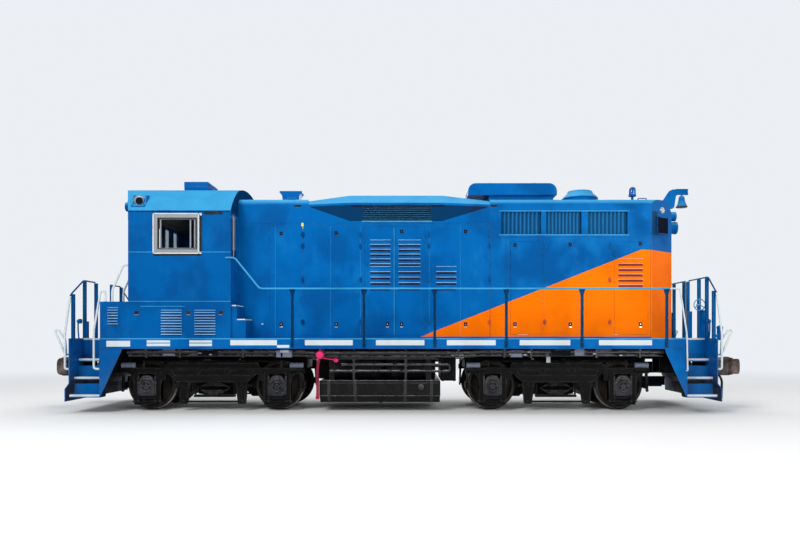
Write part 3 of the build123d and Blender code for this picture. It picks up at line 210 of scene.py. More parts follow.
class Shader(Nodes):
    """A material's nodes. Places are object places."""

    def __init__(self, name, **sockets):
        self.material = bpy.data.materials.new(name)
        self.material.use_nodes = True
        super().__init__(self.material.node_tree)
        self.bsdf = self.tree.nodes["Principled BSDF"]
        for socket, value in sockets.items():
            self.set(socket.replace("_", " "), value)
        self.place = self.node("TexCoord").outputs["Object"]

    def set(self, name, value):
        self.put(self.bsdf.inputs[name], value)

    def noise(self, scale, detail=4, stretch=None, rough=0.55):
        """Noise from 0 to 1; stretch scales the axes apart from each other."""
        where = self.node("Mapping", {0: self.place, 3: stretch}).outputs[0] if stretch else self.place
        return Value(self, self.node("TexNoise", {"Vector": where, "Scale": scale, "Detail": detail,
                                                  "Roughness": rough}).outputs["Fac"])

    def ramp(self, value, low, high, to_low=0.0, to_high=1.0):
        """Maps low..high of value to a smooth to_low..to_high."""
        return Value(self, self.node("MapRange", {"Value": value, "From Min": low, "From Max": high,
                                                  "To Min": to_low, "To Max": to_high},
                                     interpolation_type="SMOOTHSTEP").outputs[0])

    def mix(self, share, a, b):
        return self.node("Mix", {0: share, 6: a, 7: b}, data_type="RGBA").outputs[2]

    def layered(self, colour, *layers):
        """A colour under layers, each (share, colour)."""
        for share, over in layers:
            colour = self.mix(share, colour, over)
        return colour

    def axes(self, vector=None):
        """X, Y and Z of a vector, or else of the place."""
        return [Value(self, axis) for axis in self.node("SeparateXYZ", {0: vector or self.place}).outputs]

    def normal(self):
        """X, Y and Z of the way that the surface faces."""
        return self.axes(self.node("NewGeometry").outputs["Normal"])

    def edges(self, width):
        """1 along sharp edges and 0 elsewhere, from a rounded normal."""
        round_normal = self.node("Bevel", {"Radius": width}, samples=4).outputs[0]
        true_normal = self.node("NewGeometry").outputs["Normal"]
        along = self.node("VectorMath", {0: round_normal, 1: true_normal}, operation="DOT_PRODUCT")
        return self.ramp(along.outputs["Value"], 0.98, 0.86)

    def bump(self, *layers):
        """Adds bumps in turn, each (height, distance in metres)."""
        last = None
        for height, distance in layers:
            more = {"Normal": last} if last else {}
            last = self.node("Bump", {"Height": height, "Distance": distance, "Strength": 1.0, **more}).outputs[0]
        self.set("Normal", last)


def weathered_paint(name, pick_colours, dust=0.25, stain=0.8, gloss=BLUE_GLOSS, level=0.3, worn_share=0.0):
    """Gloss paint on sheet metal: cloudy stains, run-down streaks, chips on edges that also paint highlights along
    them, road dust low down and a painted sky reflection, a pale tone where the sheet faces the sky."""
    shader = Shader(name, Specular_IOR_Level=level, Specular_Tint=gloss)
    clean, stained, *matte = pick_colours(shader)
    height = shader.axes()[2]
    facing = shader.normal()[2]
    clouds = shader.ramp(shader.noise(1.1, 5), 0.44, 0.62)
    worn = shader.ramp(shader.noise(2.1, 6, stretch=(1, 1, 0.6)), 0.5, 0.72)
    streaks = shader.ramp(shader.noise(5.0, 5, stretch=(1.6, 1.6, 0.12)), 0.52, 0.8)
    # Painted sky reflection: high faces turned to the sky are lightened
    sky_sheen = shader.ramp(facing, 0.06, 0.62) * shader.ramp(height, 3.6, 4.1)
    patchy = shader.ramp(shader.noise(3.0, 6), 0.2, 0.8, 0.75, 1.0)
    grime = shader.ramp(height, 1.9, 0.3) * shader.ramp(shader.noise(2.5, 6), 0.35, 0.75)
    # Edge chips, which also paint highlights along sharp edges
    chips_and_glint = shader.edges(0.006) * shader.ramp(shader.noise(22, 3), 0.48, 0.6)
    shader.set("Base Color", shader.layered(
        clean, (clouds * stain, stained), (worn * worn_share, BLUE_PALE), (streaks * 0.3, stained),
        (sky_sheen * patchy, SKY_SHEEN), (grime * dust, DUST), (chips_and_glint * 0.35, CHALK_AND_GLINT)))
    if level:
        dull = shader.ramp(facing, 0.2, 0.8)
        for share in matte:
            dull = dull | share
        shader.set("Specular IOR Level", shader.ramp(dull, 0, 1, level, 0.12 * level))
    shader.set("Roughness", shader.ramp(clouds + grime, 0.0, 1.6, 0.34, 0.6))
    shader.bump((shader.noise(1.6, 2), 0.02), (shader.noise(260, 2), 0.0006))
    return shader.material


# Each of these gives a shader's clean and stained colours, and some the share of it that is matte

def rising_edge(x):
    """Height of the orange field's edge over the deck."""
    return (x - LIVERY_FOOT[0]) * LIVERY_RISE + LIVERY_FOOT[1]


def livery_colours(shader):
    """Blue with the orange field that rises along the hood; its edge is two straight lines in X and Z."""
    x, y, z = shader.axes()
    falling_edge = (x - LIVERY_TOP[0]) * LIVERY_END_SLOPE + LIVERY_TOP[1]
    orange = z < (rising_edge(x) & falling_edge)
    # Painted shade: the radiator bays are darkened behind their shutters
    bay_shade = (abs(y) < HOOD_HALF - 0.004) * (abs(y) > HOOD_HALF - 0.1) * (z > 3.75) * (z < 4.26)
    shader.set("Specular Tint", shader.mix(orange, BLUE_GLOSS, ORANGE_GLOSS))
    pale = shader.ramp(shader.noise(2.1, 6, stretch=(1, 1, 0.6)), 0.5, 0.7) * 0.5
    return (shader.layered(BLUE, (pale, BLUE_PALE), (bay_shade, SHADE), (orange, ORANGE)),
            shader.layered(BLUE_DEEP, (bay_shade, SHADE), (orange, ORANGE_DEEP)))


def hatch_colours(shader):
    """Blue, with painted shade on the screen between the two ends of the side grille, painted shade under the
    flared ends and a painted shadow line under the lip.
    """
    x, _, z = shader.axes()
    screen = (abs(x - GRILLE_MIDDLE) < GRILLE_HALF) * (z < 4.347) * (z > 4.047)
    # Painted shadow: a dark line under the lip, over the top of the grille
    lip_shadow = (z > 4.315) * (z < 4.3495) * (abs(x) < 0.99)
    # Painted shade on the screen and on faces that lean out and down under the flared ends
    dark = screen | shader.ramp(shader.normal()[2], -0.02, -0.12)
    return (shader.layered(BLUE, (dark, shader.mix(screen, SHADE, SCREEN_SHADE)), (lip_shadow, BLACK)),
            shader.layered(BLUE_DEEP, (dark, SCREEN_SHADE), (lip_shadow, BLACK)))


def underframe_colours(shader):
    """Blue side sills and deck over sooty black members."""
    _, y, z = shader.axes()
    blue = ((abs(y) > 1.528) | (z > 1.532)) * (z > 1.318)
    return shader.mix(blue, BLACK, BLUE), shader.mix(blue, SOOT_AND_SHADE, BLUE_DEEP), blue < 0.5


def cab_colours(shader):
    """Blue, with painted shade on the rear wall above the hood."""
    x, _, z = shader.axes()
    # Painted shade on the rear wall and on the roof's rear face
    in_shade = (x > -3.43) * shader.ramp(z, 3.9, 4.2)
    return shader.mix(in_shade, BLUE, SHADE), shader.mix(in_shade, BLUE_DEEP, SHADE)


def end_colours(shader):
    """Blue, with painted shade on the faces that look toward the trucks from below the deck."""
    x, y, z = shader.axes()
    facing_x, facing_y, _ = shader.normal()
    inside = (abs(y) < 0.955) | (abs(x + 0.09) < 5.993) | shader.ramp(z, 0.95, 0.6, 0, 0.85)
    along = shader.ramp(x * facing_x, -1, -3) * inside
    # Painted shade, which is also kept matte
    in_shade = (along | shader.ramp(y * facing_y, -0.1, -0.5)) * (z < 1.3)
    return shader.mix(in_shade, BLUE, BLACK), shader.mix(in_shade, BLUE_DEEP, SOOT_AND_SHADE), in_shade


def on_field(shader, over_blue, over_orange):
    """One colour over the hood's blue field and another over its orange one."""
    x, _, z = shader.axes()
    return shader.mix(z < rising_edge(x), over_blue, over_orange)


def hinge_colours(shader):
    """Darker, rust-stained paint on hinges: blue over the blue field and red-brown over the orange one."""
    return (on_field(shader, (0.001, 0.05, 0.19), (0.6, 0.08, 0.006)),
            on_field(shader, (0.003, 0.085, 0.27), (0.36, 0.055, 0.01)))


def edge_highlight_colours(shader):
    """Painted highlights along the edges of the hood's leaves, a little lighter than the field behind them."""
    return on_field(shader, (0.012, 0.2, 0.5), (0.9, 0.27, 0.03)), on_field(shader, BLUE_PALE, ORANGE_DEEP)


def gap_colours(shader):
    """The shaded openings under the louvres, which take the tint of the field around them."""
    orange = shader.axes()[0] > 4.0
    return (shader.mix(orange, (0.013, 0.024, 0.065), (0.3, 0.05, 0.028)),
            shader.mix(orange, SCREEN_SHADE, (0.16, 0.03, 0.03)))


def lip_highlight_colours(shader):
    """Painted highlights: lighter edges in the colour of the field that they stand on."""
    orange = shader.axes()[0] > 4.0
    return (shader.mix(orange, (0.27, 0.46, 0.66), (0.8, 0.42, 0.33)),
            shader.mix(orange, (0.12, 0.32, 0.53), (0.78, 0.3, 0.15)))


def plain(clean, stained):
    return lambda shader: (clean, stained)


def sooty_metal(name, base, dusty, rough=(0.36, 0.75), amount=0.6, gloss=0.07, top_dust_and_sheen=DUST, cover=0.7):
    """Black paint under oil and road dust, on castings and steel below the frame. The tone on upward faces is dust
    in most finishes and a painted highlight in the pipe paint and journal iron; worn edges also paint highlights.
    """
    shader = Shader(name, Specular_IOR_Level=gloss)
    dust = shader.ramp(shader.noise(3.2, 7, rough=0.65), 0.38, 0.72)
    # Upward faces take a tone that is dust in most finishes and a painted highlight in pipe paint and journal iron
    facing_up = shader.ramp(shader.normal()[2], 0.4, 0.95) * shader.ramp(shader.noise(7, 5), 0.3, 0.6)
    # Worn, bare edges, which also paint highlights along sharp edges
    edge = shader.edges(0.01) * shader.ramp(shader.noise(9, 4), 0.35, 0.6)
    shader.set("Base Color", shader.layered(base, (dust * amount, dusty), (facing_up * cover, top_dust_and_sheen),
                                            (edge * 0.65, BARE_EDGE_AND_GLINT)))
    shader.set("Roughness", shader.ramp(dust, 0, 1, *rough))
    shader.bump((shader.noise(30, 6), 0.004), (shader.noise(220, 3), 0.001))
    return shader.material


def wheel_material():
    """Dull brown wheel plates; the tread, where it rolls, is bright steel."""
    shader = Shader("wheel_steel", Metallic=0.3, Specular_IOR_Level=0.15)
    x, y, z = shader.axes()
    away = [abs(x - axle) for axle in AXLES]
    nearest = away[0] & away[1] & away[2] & away[3]
    beyond = nearest ** 2 + (z - AXLE_Z) ** 2 > 0.49 ** 2
    bright = (abs(y) > 0.722) * (abs(y) < 0.8) * beyond
    dust = shader.ramp(shader.noise(6, 6), 0.35, 0.7)
    shader.set("Base Color", shader.layered((0.012, 0.011, 0.01), (dust, (0.035, 0.028, 0.022)),
                                            (bright, (0.5, 0.49, 0.47))))
    shader.set("Roughness", shader.ramp(dust, 0, 1, 0.38, 0.75))
    shader.bump((shader.noise(60, 5), 0.002))
    return shader.material


def glass_material(name, tint, rough=0.03):
    shader = Shader(name, Roughness=rough, IOR=1.45, Transmission_Weight=0.85)
    smears = shader.ramp(shader.noise(4, 5), 0.4, 0.8)
    shader.set("Base Color", shader.mix(smears, tint, [0.8 * value for value in tint]))
    return shader.material


def metal(name, colour, rough=(0.3, 0.5), metallic=0.9):
    shader = Shader(name, Metallic=metallic)
    haze = shader.ramp(shader.noise(14, 5), 0.35, 0.7)
    shader.set("Base Color", shader.mix(haze * 0.5, colour, [0.65 * value for value in colour]))
    shader.set("Roughness", shader.ramp(haze, 0, 1, *rough))
    return shader.material


def floor_material():
    """A pale floor that, for the camera alone, fades far off into the colour of the world."""
    shader = Shader("studio_floor", Roughness=0.9)
    shader.set("Base Color", shader.mix(shader.noise(0.4, 3), (0.74, 0.74, 0.735), (0.79, 0.79, 0.785)))
    far = shader.ramp(shader.node("VectorMath", {0: shader.place}, operation="LENGTH").outputs["Value"], 7, 24)
    sky = shader.node("Emission", {"Color": WORLD_COLOUR, "Strength": WORLD_SEEN}).outputs[0]
    faded = shader.node("MixShader", {0: far * shader.node("LightPath").outputs["Is Camera Ray"],
                                      1: shader.bsdf.outputs[0], 2: sky})
    shader.put(shader.tree.nodes["Material Output"].inputs["Surface"], faded.outputs[0])
    return shader.material


PAINTS = {
    "body_paint": (livery_colours, {}),
    "blue_paint": (plain(BLUE, BLUE_DEEP), {"dust": 0.35}),
    "cab_blue": (plain(CAB_BLUE, CAB_DEEP), {"dust": 0.3, "worn_share": 0.25}),
    "end_paint": (end_colours, {"dust": 0.35, "worn_share": 0.2}),
    "end_posts": (plain((0.0006, 0.06, 0.21), (0.0004, 0.035, 0.13)), {"dust": 0.2}),
    "hinge_paint": (hinge_colours, {"dust": 0.2}),
    "edge_highlight_paint": (edge_highlight_colours, {"dust": 0.1}),
    "louvre_gap": (gap_colours, {"dust": 0.1, "level": 0.0}),
    "louvre_lip_highlight": (lip_highlight_colours, {"dust": 0.1, "stain": 0.6}),
    "hatch_paint": (hatch_colours, {}),
    "frame_paint": (underframe_colours, {"dust": 0.35}),
    "shutter_paint": (plain((0.026, 0.23, 0.51), (0.018, 0.16, 0.39)), {}),
    "cab_paint": (cab_colours, {"level": 0.0}),
    "post_paint": (plain((0.0015, 0.024, 0.075), (0.0012, 0.016, 0.05)), {"dust": 0.2}),
    # A lighter blue that paints the highlights on beads, strips, rails and the deck's edge
    "highlight_blue": (plain((0.05, 0.3, 0.55), (0.02, 0.2, 0.42)), {"dust": 0.1}),
    "white_paint": (plain(WHITE, (0.48, 0.53, 0.56)), {"dust": 0.35, "stain": 0.5, "gloss": PLAIN_GLOSS}),
    "yellow_paint": (plain((0.75, 0.65, 0.05), (0.6, 0.5, 0.05)), {"gloss": PLAIN_GLOSS}),
    "red_paint": (plain((0.9, 0.045, 0.24), (0.6, 0.02, 0.1)), {"dust": 0.1, "gloss": RED_GLOSS}),
    "red_hose": (plain((0.36, 0.01, 0.045), (0.13, 0.008, 0.018)), {"dust": 0.2, "gloss": RED_GLOSS}),
}
METALS = {
    "black_paint": (BLACK, SOOT_AND_SHADE, {"gloss": 0.05}),
    "tank_paint": (BLACK, (0.009, 0.0085, 0.008), {"rough": (0.25, 0.5), "gloss": 0.12}),
    # Pipe paint: the pale tone on its upward faces is a painted highlight
    "pipe_paint": ((0.008, 0.008, 0.009), (0.02, 0.02, 0.022),
                   {"rough": (0.2, 0.45), "gloss": 0.4, "top_dust_and_sheen": (0.62, 0.58, 0.66), "cover": 1.0}),
    "pale_steel": ((0.5, 0.5, 0.52), (0.24, 0.22, 0.2), {}),
    "grey_steel": ((0.16, 0.19, 0.27), (0.22, 0.24, 0.29), {"amount": 0.7}),
    "cast_steel": ((0.04, 0.028, 0.024), (0.22, 0.165, 0.145), {"amount": 1.0}),
    "rubber": ((0.012, 0.012, 0.013), (0.05, 0.048, 0.045), {"amount": 0.5}),
    # Dark joints, and the painted shade of recesses and openings
    "dark_gap": ((0.006, 0.007, 0.012), (0.012, 0.013, 0.02), {"amount": 0.4}),
    # Journal iron: the pale tone on its upward faces is a painted highlight
    "journal_iron": ((0.007, 0.007, 0.009), (0.04, 0.04, 0.045),
                     {"rough": (0.25, 0.6), "amount": 0.8, "gloss": 0.2, "top_dust_and_sheen": (0.34, 0.34, 0.37)}),
    "board_dark": ((0.006, 0.009, 0.02), (0.012, 0.016, 0.03), {"amount": 0.3, "gloss": 0.0}),
    "cab_lining": ((0.04, 0.05, 0.055), (0.09, 0.1, 0.1), {}),
    "console_paint": ((0.16, 0.22, 0.25), (0.22, 0.26, 0.28), {"amount": 0.5}),
    "engine_paint": ((0.06, 0.07, 0.075), (0.1, 0.09, 0.08), {}),
}
MATERIALS = {
    **{name: weathered_paint(name, colours, **more) for name, (colours, more) in PAINTS.items()},
    **{name: sooty_metal(name, base, dusty, **more) for name, (base, dusty, more) in METALS.items()},
    "wheel_steel": wheel_material(),
    "window_metal": metal("window_metal", (0.25, 0.26, 0.28), metallic=0.35),
    "bright_metal": metal("bright_metal", (0.75, 0.75, 0.74), rough=(0.15, 0.3)),
    "glass": glass_material("window_glass", (0.55, 0.62, 0.62)),
    "lamp_glass": glass_material("lamp_glass", (0.9, 0.92, 0.95), rough=0.12),
    "beacon_glass": glass_material("beacon_glass", (0.01, 0.1, 0.4), rough=0.1),
}

# The slot of each finish; the others are in the slot blue_paint
SLOTS = {
    **dict.fromkeys(("black_paint", "dark_gap", "louvre_gap", "rubber", "grey_steel", "pipe_paint", "journal_iron",
                     "board_dark"), "black_paint"),
    **dict.fromkeys(("window_metal", "bright_metal"), "window_metal"),
    **dict.fromkeys(("white_paint", "pale_steel"), "rail_paint"),
    **dict.fromkeys(("cab_lining", "console_paint"), "cab_lining"),
    **dict.fromkeys(("cast_steel", "red_paint", "red_hose"), "cast_steel"),
    **dict.fromkeys(("lamp_glass", "beacon_glass"), "glass"),
    "wheel_steel": "wheel_steel",
}

NODE_FINISH = {
    "cast_steel": ("front_coupler", "rear_coupler"),
    "window_metal": ("cab_window_frames",),
    "glass": ("cab_glass",),
    "cab_lining": ("cab_interior",),
    "engine_paint": ("engine_block",),
    "tank_paint": ("fuel_tank", "tank_pipes"),
    "cab_paint": ("cab_rear_wall", "cab_roof"),
    "cab_blue": ("cab_base", "cab_side_walls", "cab_front_landing"),
    "end_paint": ("front_pilot", "rear_pilot", "front_steps", "rear_steps"),
    "frame_paint": ("underframe",),
    "hatch_paint": ("brake_hatch",),
    "shutter_paint": ("radiator_shutters",),
    "blue_paint": ("cab_front_wall", "cab_front_door", "cab_rear_door_near", "cab_rear_door_far",
                   "hood_front_roof", "roof_fittings", "headlamps", "bell", "side_handrails", "front_end_rails",
                   "rear_end_rails", "stair_rails"),
}


def finish_of(name):
    for finish, names in NODE_FINISH.items():
        if name in names:
            return finish
    if "wheelset" in name:
        return "wheel_steel"
    return "black_paint" if "truck" in name or "traction" in name else "body_paint"


def dress_nodes():
    for name, node in NODES.items():
        node.data.materials.clear()
        node.data.materials.append(MATERIALS[finish_of(name)])


def span(middle, half):
    return middle - half, middle + half


def compass(count, first=0):
    """(cos, sin) of evenly spaced turns, the first at that many degrees."""
    return [(cos(turn), sin(turn)) for turn in (radians(first + 360 * step / count) for step in range(count))]


def arc_points(x, z, radius, start, end, steps):
    """(X, Z) points of an arc, its ends in degrees."""
    turns = [radians(start + (end - start) * step / steps) for step in range(steps + 1)]
    return [(x + radius * cos(turn), z + radius * sin(turn)) for turn in turns]


def both_halves(half, x=0):
    """An outline from its right half, whose first values count from the middle at x."""
    return [(x + a, b) for a, b in half] + [(x - a, b) for a, b in reversed(half)]


def on_axis(axis, a, b, along):
    """A place from its distance along an axis and its other two values."""
    return {"X": (along, a, b), "Y": (a, along, b), "Z": (a, b, along)}[axis]


def rounded_route(corners, bend):
    """Places along straight runs whose corners are eased over the length bend."""
    corners = [Vector(corner) for corner in corners]
    route = [corners[0]]
    for before, corner, after in zip(corners, corners[1:], corners[2:]):
        reach = min(bend, 0.45 * (corner - before).length, 0.45 * (after - corner).length)
        start = corner + (before - corner).normalized() * reach
        end = corner + (after - corner).normalized() * reach
        for step in range(BEND_STEPS + 1):
            t = step / BEND_STEPS
            route.append(start * (1 - t) ** 2 + corner * 2 * t * (1 - t) + end * t ** 2)
    return route + [corners[-1]]


class Piece:
    """Collects shapes in one mesh, which becomes one object of one finish on one body."""

    def __init__(self, name, finish, body="locomotive", slot=None):
        self.name, self.finish, self.body = name, finish, body
        self.slot = slot or SLOTS.get(finish, "blue_paint")
        self.mesh = bmesh.new()

    def box(self, x, y, z):
        """A block over (low, high) spans."""
        sizes = [abs(high - low) for low, high in (x, y, z)]
        middle = Matrix.Translation([(high + low) / 2 for low, high in (x, y, z)])
        bmesh.ops.create_cube(self.mesh, size=1, matrix=middle @ Matrix.Diagonal((*sizes, 1)))

    def plate(self, x, z, face, thick):
        """A block over (low, high) spans of X and Z that stands on a face at Y."""
        self.box(x, (face, face + thick), z)

    def bar(self, start, end, width, y):
        """A flat bar between two (X, Z) points, over a span of Y."""
        start, end = Vector(start), Vector(end)
        side = Vector((start.y - end.y, end.x - start.x)).normalized() * width / 2
        self.prism([start + side, start - side, end - side, end + side], "Y", y)

    def skin(self, rings, closed=True):
        """A form through rings of places, closed at both ends or else at the first."""
        rings = [[self.mesh.verts.new(place) for place in ring] for ring in rings]
        faces = [self.mesh.faces.new(ring) for ring in ((rings[0], rings[-1]) if closed else rings[:1])]
        for near, far in zip(rings, rings[1:]):
            for i in range(len(near)):
                j = (i + 1) % len(near)
                faces.append(self.mesh.faces.new((near[i], near[j], far[j], far[i])))
        bmesh.ops.recalc_face_normals(self.mesh, faces=faces)

    def prism(self, outline, axis, ends):
        """A closed outline pushed along an axis: (X, Z) for Y, (Y, Z) for X and (X, Y) for Z."""
        self.skin([[on_axis(axis, a, b, along) for a, b in outline] for along in ends])

    def lofted(self, outline, levels):
        """An (X, Y) outline carried up through (height, scale) levels, scaled about its own middle."""
        x, y = (sum(values) / len(outline) for values in zip(*outline))
        self.skin([[(x + (a - x) * scale, y + (b - y) * scale, height) for a, b in outline]
                   for height, scale in levels])

    def turned(self, profile, at, axis, segments=32):
        """A turned form from (radius, distance along the axis) points; at gives the axis' other two values."""
        self.skin([[on_axis(axis, at[0] + radius * a, at[1] + radius * b, along) for a, b in compass(segments)]
                   for radius, along in profile])

    def rod(self, start, end, radius, segments=12):
        """A round bar from one place to another."""
        start, end = Vector(start), Vector(end)
        turn = (end - start).to_track_quat("Z", "Y").to_matrix().to_4x4()
        bmesh.ops.create_cone(self.mesh, cap_ends=True, segments=segments, radius1=radius, radius2=radius,
                              depth=(end - start).length, matrix=Matrix.Translation((start + end) / 2) @ turn)

    def tube(self, corners, radius, bend=0.06, segments=10):
        """A round tube along straight runs with rounded corners."""
        route = rounded_route(corners, bend)
        side = None
        rings = []
        for i, place in enumerate(route):
            ahead = (route[min(i + 1, len(route) - 1)] - route[max(i - 1, 0)]).normalized()
            guess = side or Vector((0, 0, 1) if abs(ahead.z) < 0.9 else (1, 0, 0))
            side = (guess - ahead * guess.dot(ahead)).normalized()
            up = ahead.cross(side)
            rings.append([place + radius * (a * side + b * up) for a, b in compass(segments)])
        self.skin(rings)

    def studs(self, places, radius=0.011, height=0.008, out=(0, 1, 0)):
        """Bolt heads with six flats, standing on those places and pointing out."""
        for place in places:
            self.rod(place, Vector(place) + Vector(out) * height, radius, segments=6)

    def moved(self, spots):
        """Puts what is here at each (X, direction along X, direction along Y)."""
        here = [*self.mesh.verts, *self.mesh.edges, *self.mesh.faces]
        copies = [here] + [bmesh.ops.duplicate(self.mesh, geom=here)["geom"] for _ in spots[1:]]
        for items, (x, along, across) in zip(copies, spots):
            bmesh.ops.transform(self.mesh, verts=[item for item in items if isinstance(item, bmesh.types.BMVert)],
                                matrix=Matrix.Translation((x, 0, 0)) @ Matrix.Diagonal((along, across, 1, 1)))
            if along * across < 0:
                bmesh.ops.reverse_faces(self.mesh, faces=[item for item in items
                                                          if isinstance(item, bmesh.types.BMFace)])

    def make(self, bevel=0.0, replaces=(), sides=(1, -1), at=(0, 1)):
        """The finished piece; sides are the directions along Y in which its shapes stand, and at gives the
        X that they count from and their direction along X."""
        self.moved([(*at, side) for side in sides])
        data = bpy.data.meshes.new(self.name)
        self.mesh.to_mesh(data)
        self.mesh.free()
        data.polygons.foreach_set("use_smooth", [True] * len(data.polygons))
        data.set_sharp_from_angle(angle=radians(SHARP_DEG))
        data.materials.append(MATERIALS[self.finish])
        piece = bpy.data.objects.new(self.name, data)
        bpy.context.scene.collection.objects.link(piece)
        if bevel:
            edge = piece.modifiers.new("bevel", "BEVEL")
            edge.width = bevel
            edge.segments = 2
            edge.limit_method = "ANGLE"
            edge.angle_limit = radians(SHARP_DEG)
            edge.harden_normals = True
        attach(piece, self.body)
        if replaces:
            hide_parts(*replaces)


# Left and right X, foot and head Z of the white rectangles along the side sill
SILL_MARKS = (
    (-5.946, -5.462, 1.371, 1.490), (-5.123, -4.646, 1.381, 1.436), (-5.123, -4.646, 1.452, 1.500),
    (-4.254, -3.791, 1.381, 1.436), (-4.254, -3.791, 1.452, 1.500), (-3.417, -2.466, 1.398, 1.506),
    (-2.466, -2.213, 1.347, 1.404), (-1.895, -0.919, 1.398, 1.506), (-0.446, 0.544, 1.398, 1.506),
    (1.003, 1.999, 1.398, 1.506), (2.489, 3.521, 1.398, 1.506), (4.107, 5.189, 1.398, 1.506),
)
TAPE = 0.0015


def make_sill_marks():
    marks = Piece("sill_marks", "white_paint")
    for left, right, foot, head in SILL_MARKS:
        marks.plate((left, right), (foot, head), HALF_W, TAPE)
    marks.make()


# The hood's leaves that open, and X of the hinges on the tall and the short ones that stay shut
OPENING_LEAVES = ("d", "e", "h", "k")
TALL_HINGES = (-2.048, -2.026, -0.806, 0.656, 1.943)
SHORT_HINGES = (3.126, 4.514)
HINGE_Z = (1.88, 2.783, 3.5)
TOP_HINGE_Z = 3.743

# Latches: the leaf that carries them, X, and the heights of the one or two of them
LATCHES = (
    ("a", -2.5, 1.84, 3.776), ("c", -1.324, 1.84, 3.786), ("d", -0.231, 1.84), ("e", 0.07, 1.84, 3.818),
    ("g", 1.436, 1.84, 3.818), ("h", 2.49, 1.84, 3.53), ("i", 3.67, 1.84, 3.541), ("k", 5.168, 1.84, 3.562),
)
# Pressed louvres: what carries them, left and right X, foot and head Z, how many, and their face
LOUVRES = (
    ("d", -0.604, -0.166, 2.605, 3.071, 4, LEAF_FACE), ("d", -0.604, -0.166, 3.124, 3.637, 5, LEAF_FACE),
    ("e", 0.004, 0.474, 2.605, 3.071, 4, LEAF_FACE), ("e", 0.004, 0.474, 3.124, 3.637, 5, LEAF_FACE),
    ("f", 0.805, 1.243, 2.605, 3.071, 4, LEAF_FACE), ("k", 4.692, 5.226, 2.676, 3.242, 5, LEAF_FACE),
    ("cab_base", -4.829, -4.406, 1.615, 2.115, 9, HALF_W), ("cab_base", -4.146, -3.719, 1.615, 2.115, 9, HALF_W),
    ("locker", -5.919, -5.709, 1.828, 2.166, 6, HALF_W),
)


def body_of_leaf(leaf, side_name):
    return f"hood_door_{leaf}_{side_name}" if leaf in OPENING_LEAVES else "locomotive"


def make_latches():
    """Recessed pulls on the leaves: a raised rim, a dark plate that paints the shade in the cup, and a handle."""
    for side_name, side in SIDES:
        for leaf, x, *heights in LATCHES:
            body = body_of_leaf(leaf, side_name)
            rims = Piece(f"latch_rims_{leaf}_{side_name}", "body_paint", body)
            cup_shade = Piece(f"latch_cup_shade_{leaf}_{side_name}", "dark_gap", body)
            pulls = Piece(f"latch_pulls_{leaf}_{side_name}", "bright_metal", body)
            for z in heights:
                # A dark plate that paints the shade in the recessed cup
                cup_shade.plate(span(x, 0.04), span(z, 0.042), LEAF_FACE, 0.002)
                for flank in (-1, 1):
                    rims.plate((x + flank * 0.036, x + flank * 0.045), span(z, 0.05), LEAF_FACE, 0.006)
                    rims.plate(span(x, 0.036), (z + flank * 0.04, z + flank * 0.05), LEAF_FACE, 0.006)
                # Handles on the lower latches are bright metal and those on the upper ones take the leaf's paint:
                # the difference paints highlights on the lower handles
                handle = pulls if z < 2 else rims
                handle.rod((x, LEAF_FACE, z), (x, LEAF_FACE + 0.012, z), 0.01)
                handle.plate(span(x, 0.03), (z - 0.068, z - 0.056), LEAF_FACE, 0.012)
            for piece in (rims, cup_shade, pulls):
                piece.make(bevel=0.001, sides=(side,))


def make_leaf_hinges():
    """Butt hinges of the leaves that stay shut, and a cover strip where two opening leaves meet."""
    hinges = Piece("leaf_hinges", "hinge_paint")
    for places, heights in ((TALL_HINGES, (*HINGE_Z, TOP_HINGE_Z)), (SHORT_HINGES, HINGE_Z)):
        for x, z in ((x, z) for x in places for z in heights):
            hinges.rod((x, LEAF_FACE + 0.006, z - 0.065), (x, LEAF_FACE + 0.006, z + 0.065), 0.009)
            hinges.plate(span(x, 0.036), span(z, 0.04), LEAF_FACE - 0.004, 0.008)
            hinges.studs([(a, LEAF_FACE + 0.004, b) for a in span(x, 0.024) for b in span(z, 0.025)], 0.006, 0.004)
    hinges.make(bevel=0.0015)
    for side_name, side in SIDES:
        # A lighter blue that paints the strip's highlight
        strip = Piece(f"meeting_strip_{side_name}", "highlight_blue", f"hood_door_d_{side_name}")
        strip.plate((-0.094, -0.0815), (1.62, 3.9), LEAF_FACE, 0.006)
        strip.make(bevel=0.0015, sides=(side,))


def make_louvre_slots():
    """Painted shade in the opening under each pressed louvre, and a painted highlight on the lip above it."""
    for side_name, side in SIDES:
        bodies = {}
        for carrier, *panel in LOUVRES:
            bodies.setdefault(body_of_leaf(carrier, side_name), []).append(panel)
        for body, panels in bodies.items():
            # Dark plates that paint the shade under the louvres, and lips that paint their highlights
            slots = Piece(f"louvre_slots_{body}_{side_name}", "louvre_gap", body)
            lips = Piece(f"louvre_lips_{body}_{side_name}", "louvre_lip_highlight", body)
            for left, right, foot, head, count, face in panels:
                pitch = (head - foot) / count
                lips.rod((left, face + 0.004, head), (right, face + 0.004, head), 0.006, segments=8)
                for z in (foot + step * pitch for step in range(count)):
                    slots.plate((left + 0.008, right - 0.008), (z - 0.42 * pitch, z - 0.001), face, 0.0015)
                    lips.rod((left, face + 0.0125, z + 0.005), (right, face + 0.0125, z + 0.005), 0.0075,
                             segments=8)
            slots.make(sides=(side,))
            lips.make(sides=(side,))


CAB_X = (-5.505, -3.411)
CAB_FLOOR = 2.306
CAB_SEAMS_Z = (2.296, 3.302)
WINDOW_X = (-4.955, -4.039)
WINDOW_Z = (3.303, 4.054)
# The clear opening of the side window, and X of the pulls on the cab's base
OPENING_X = (WINDOW_X[0] + 0.06, WINDOW_X[1] - 0.06)
OPENING_Z = (WINDOW_Z[0] + 0.06, WINDOW_Z[1] - 0.06)
PULLS_X = (-5.33, -4.271, -3.611)


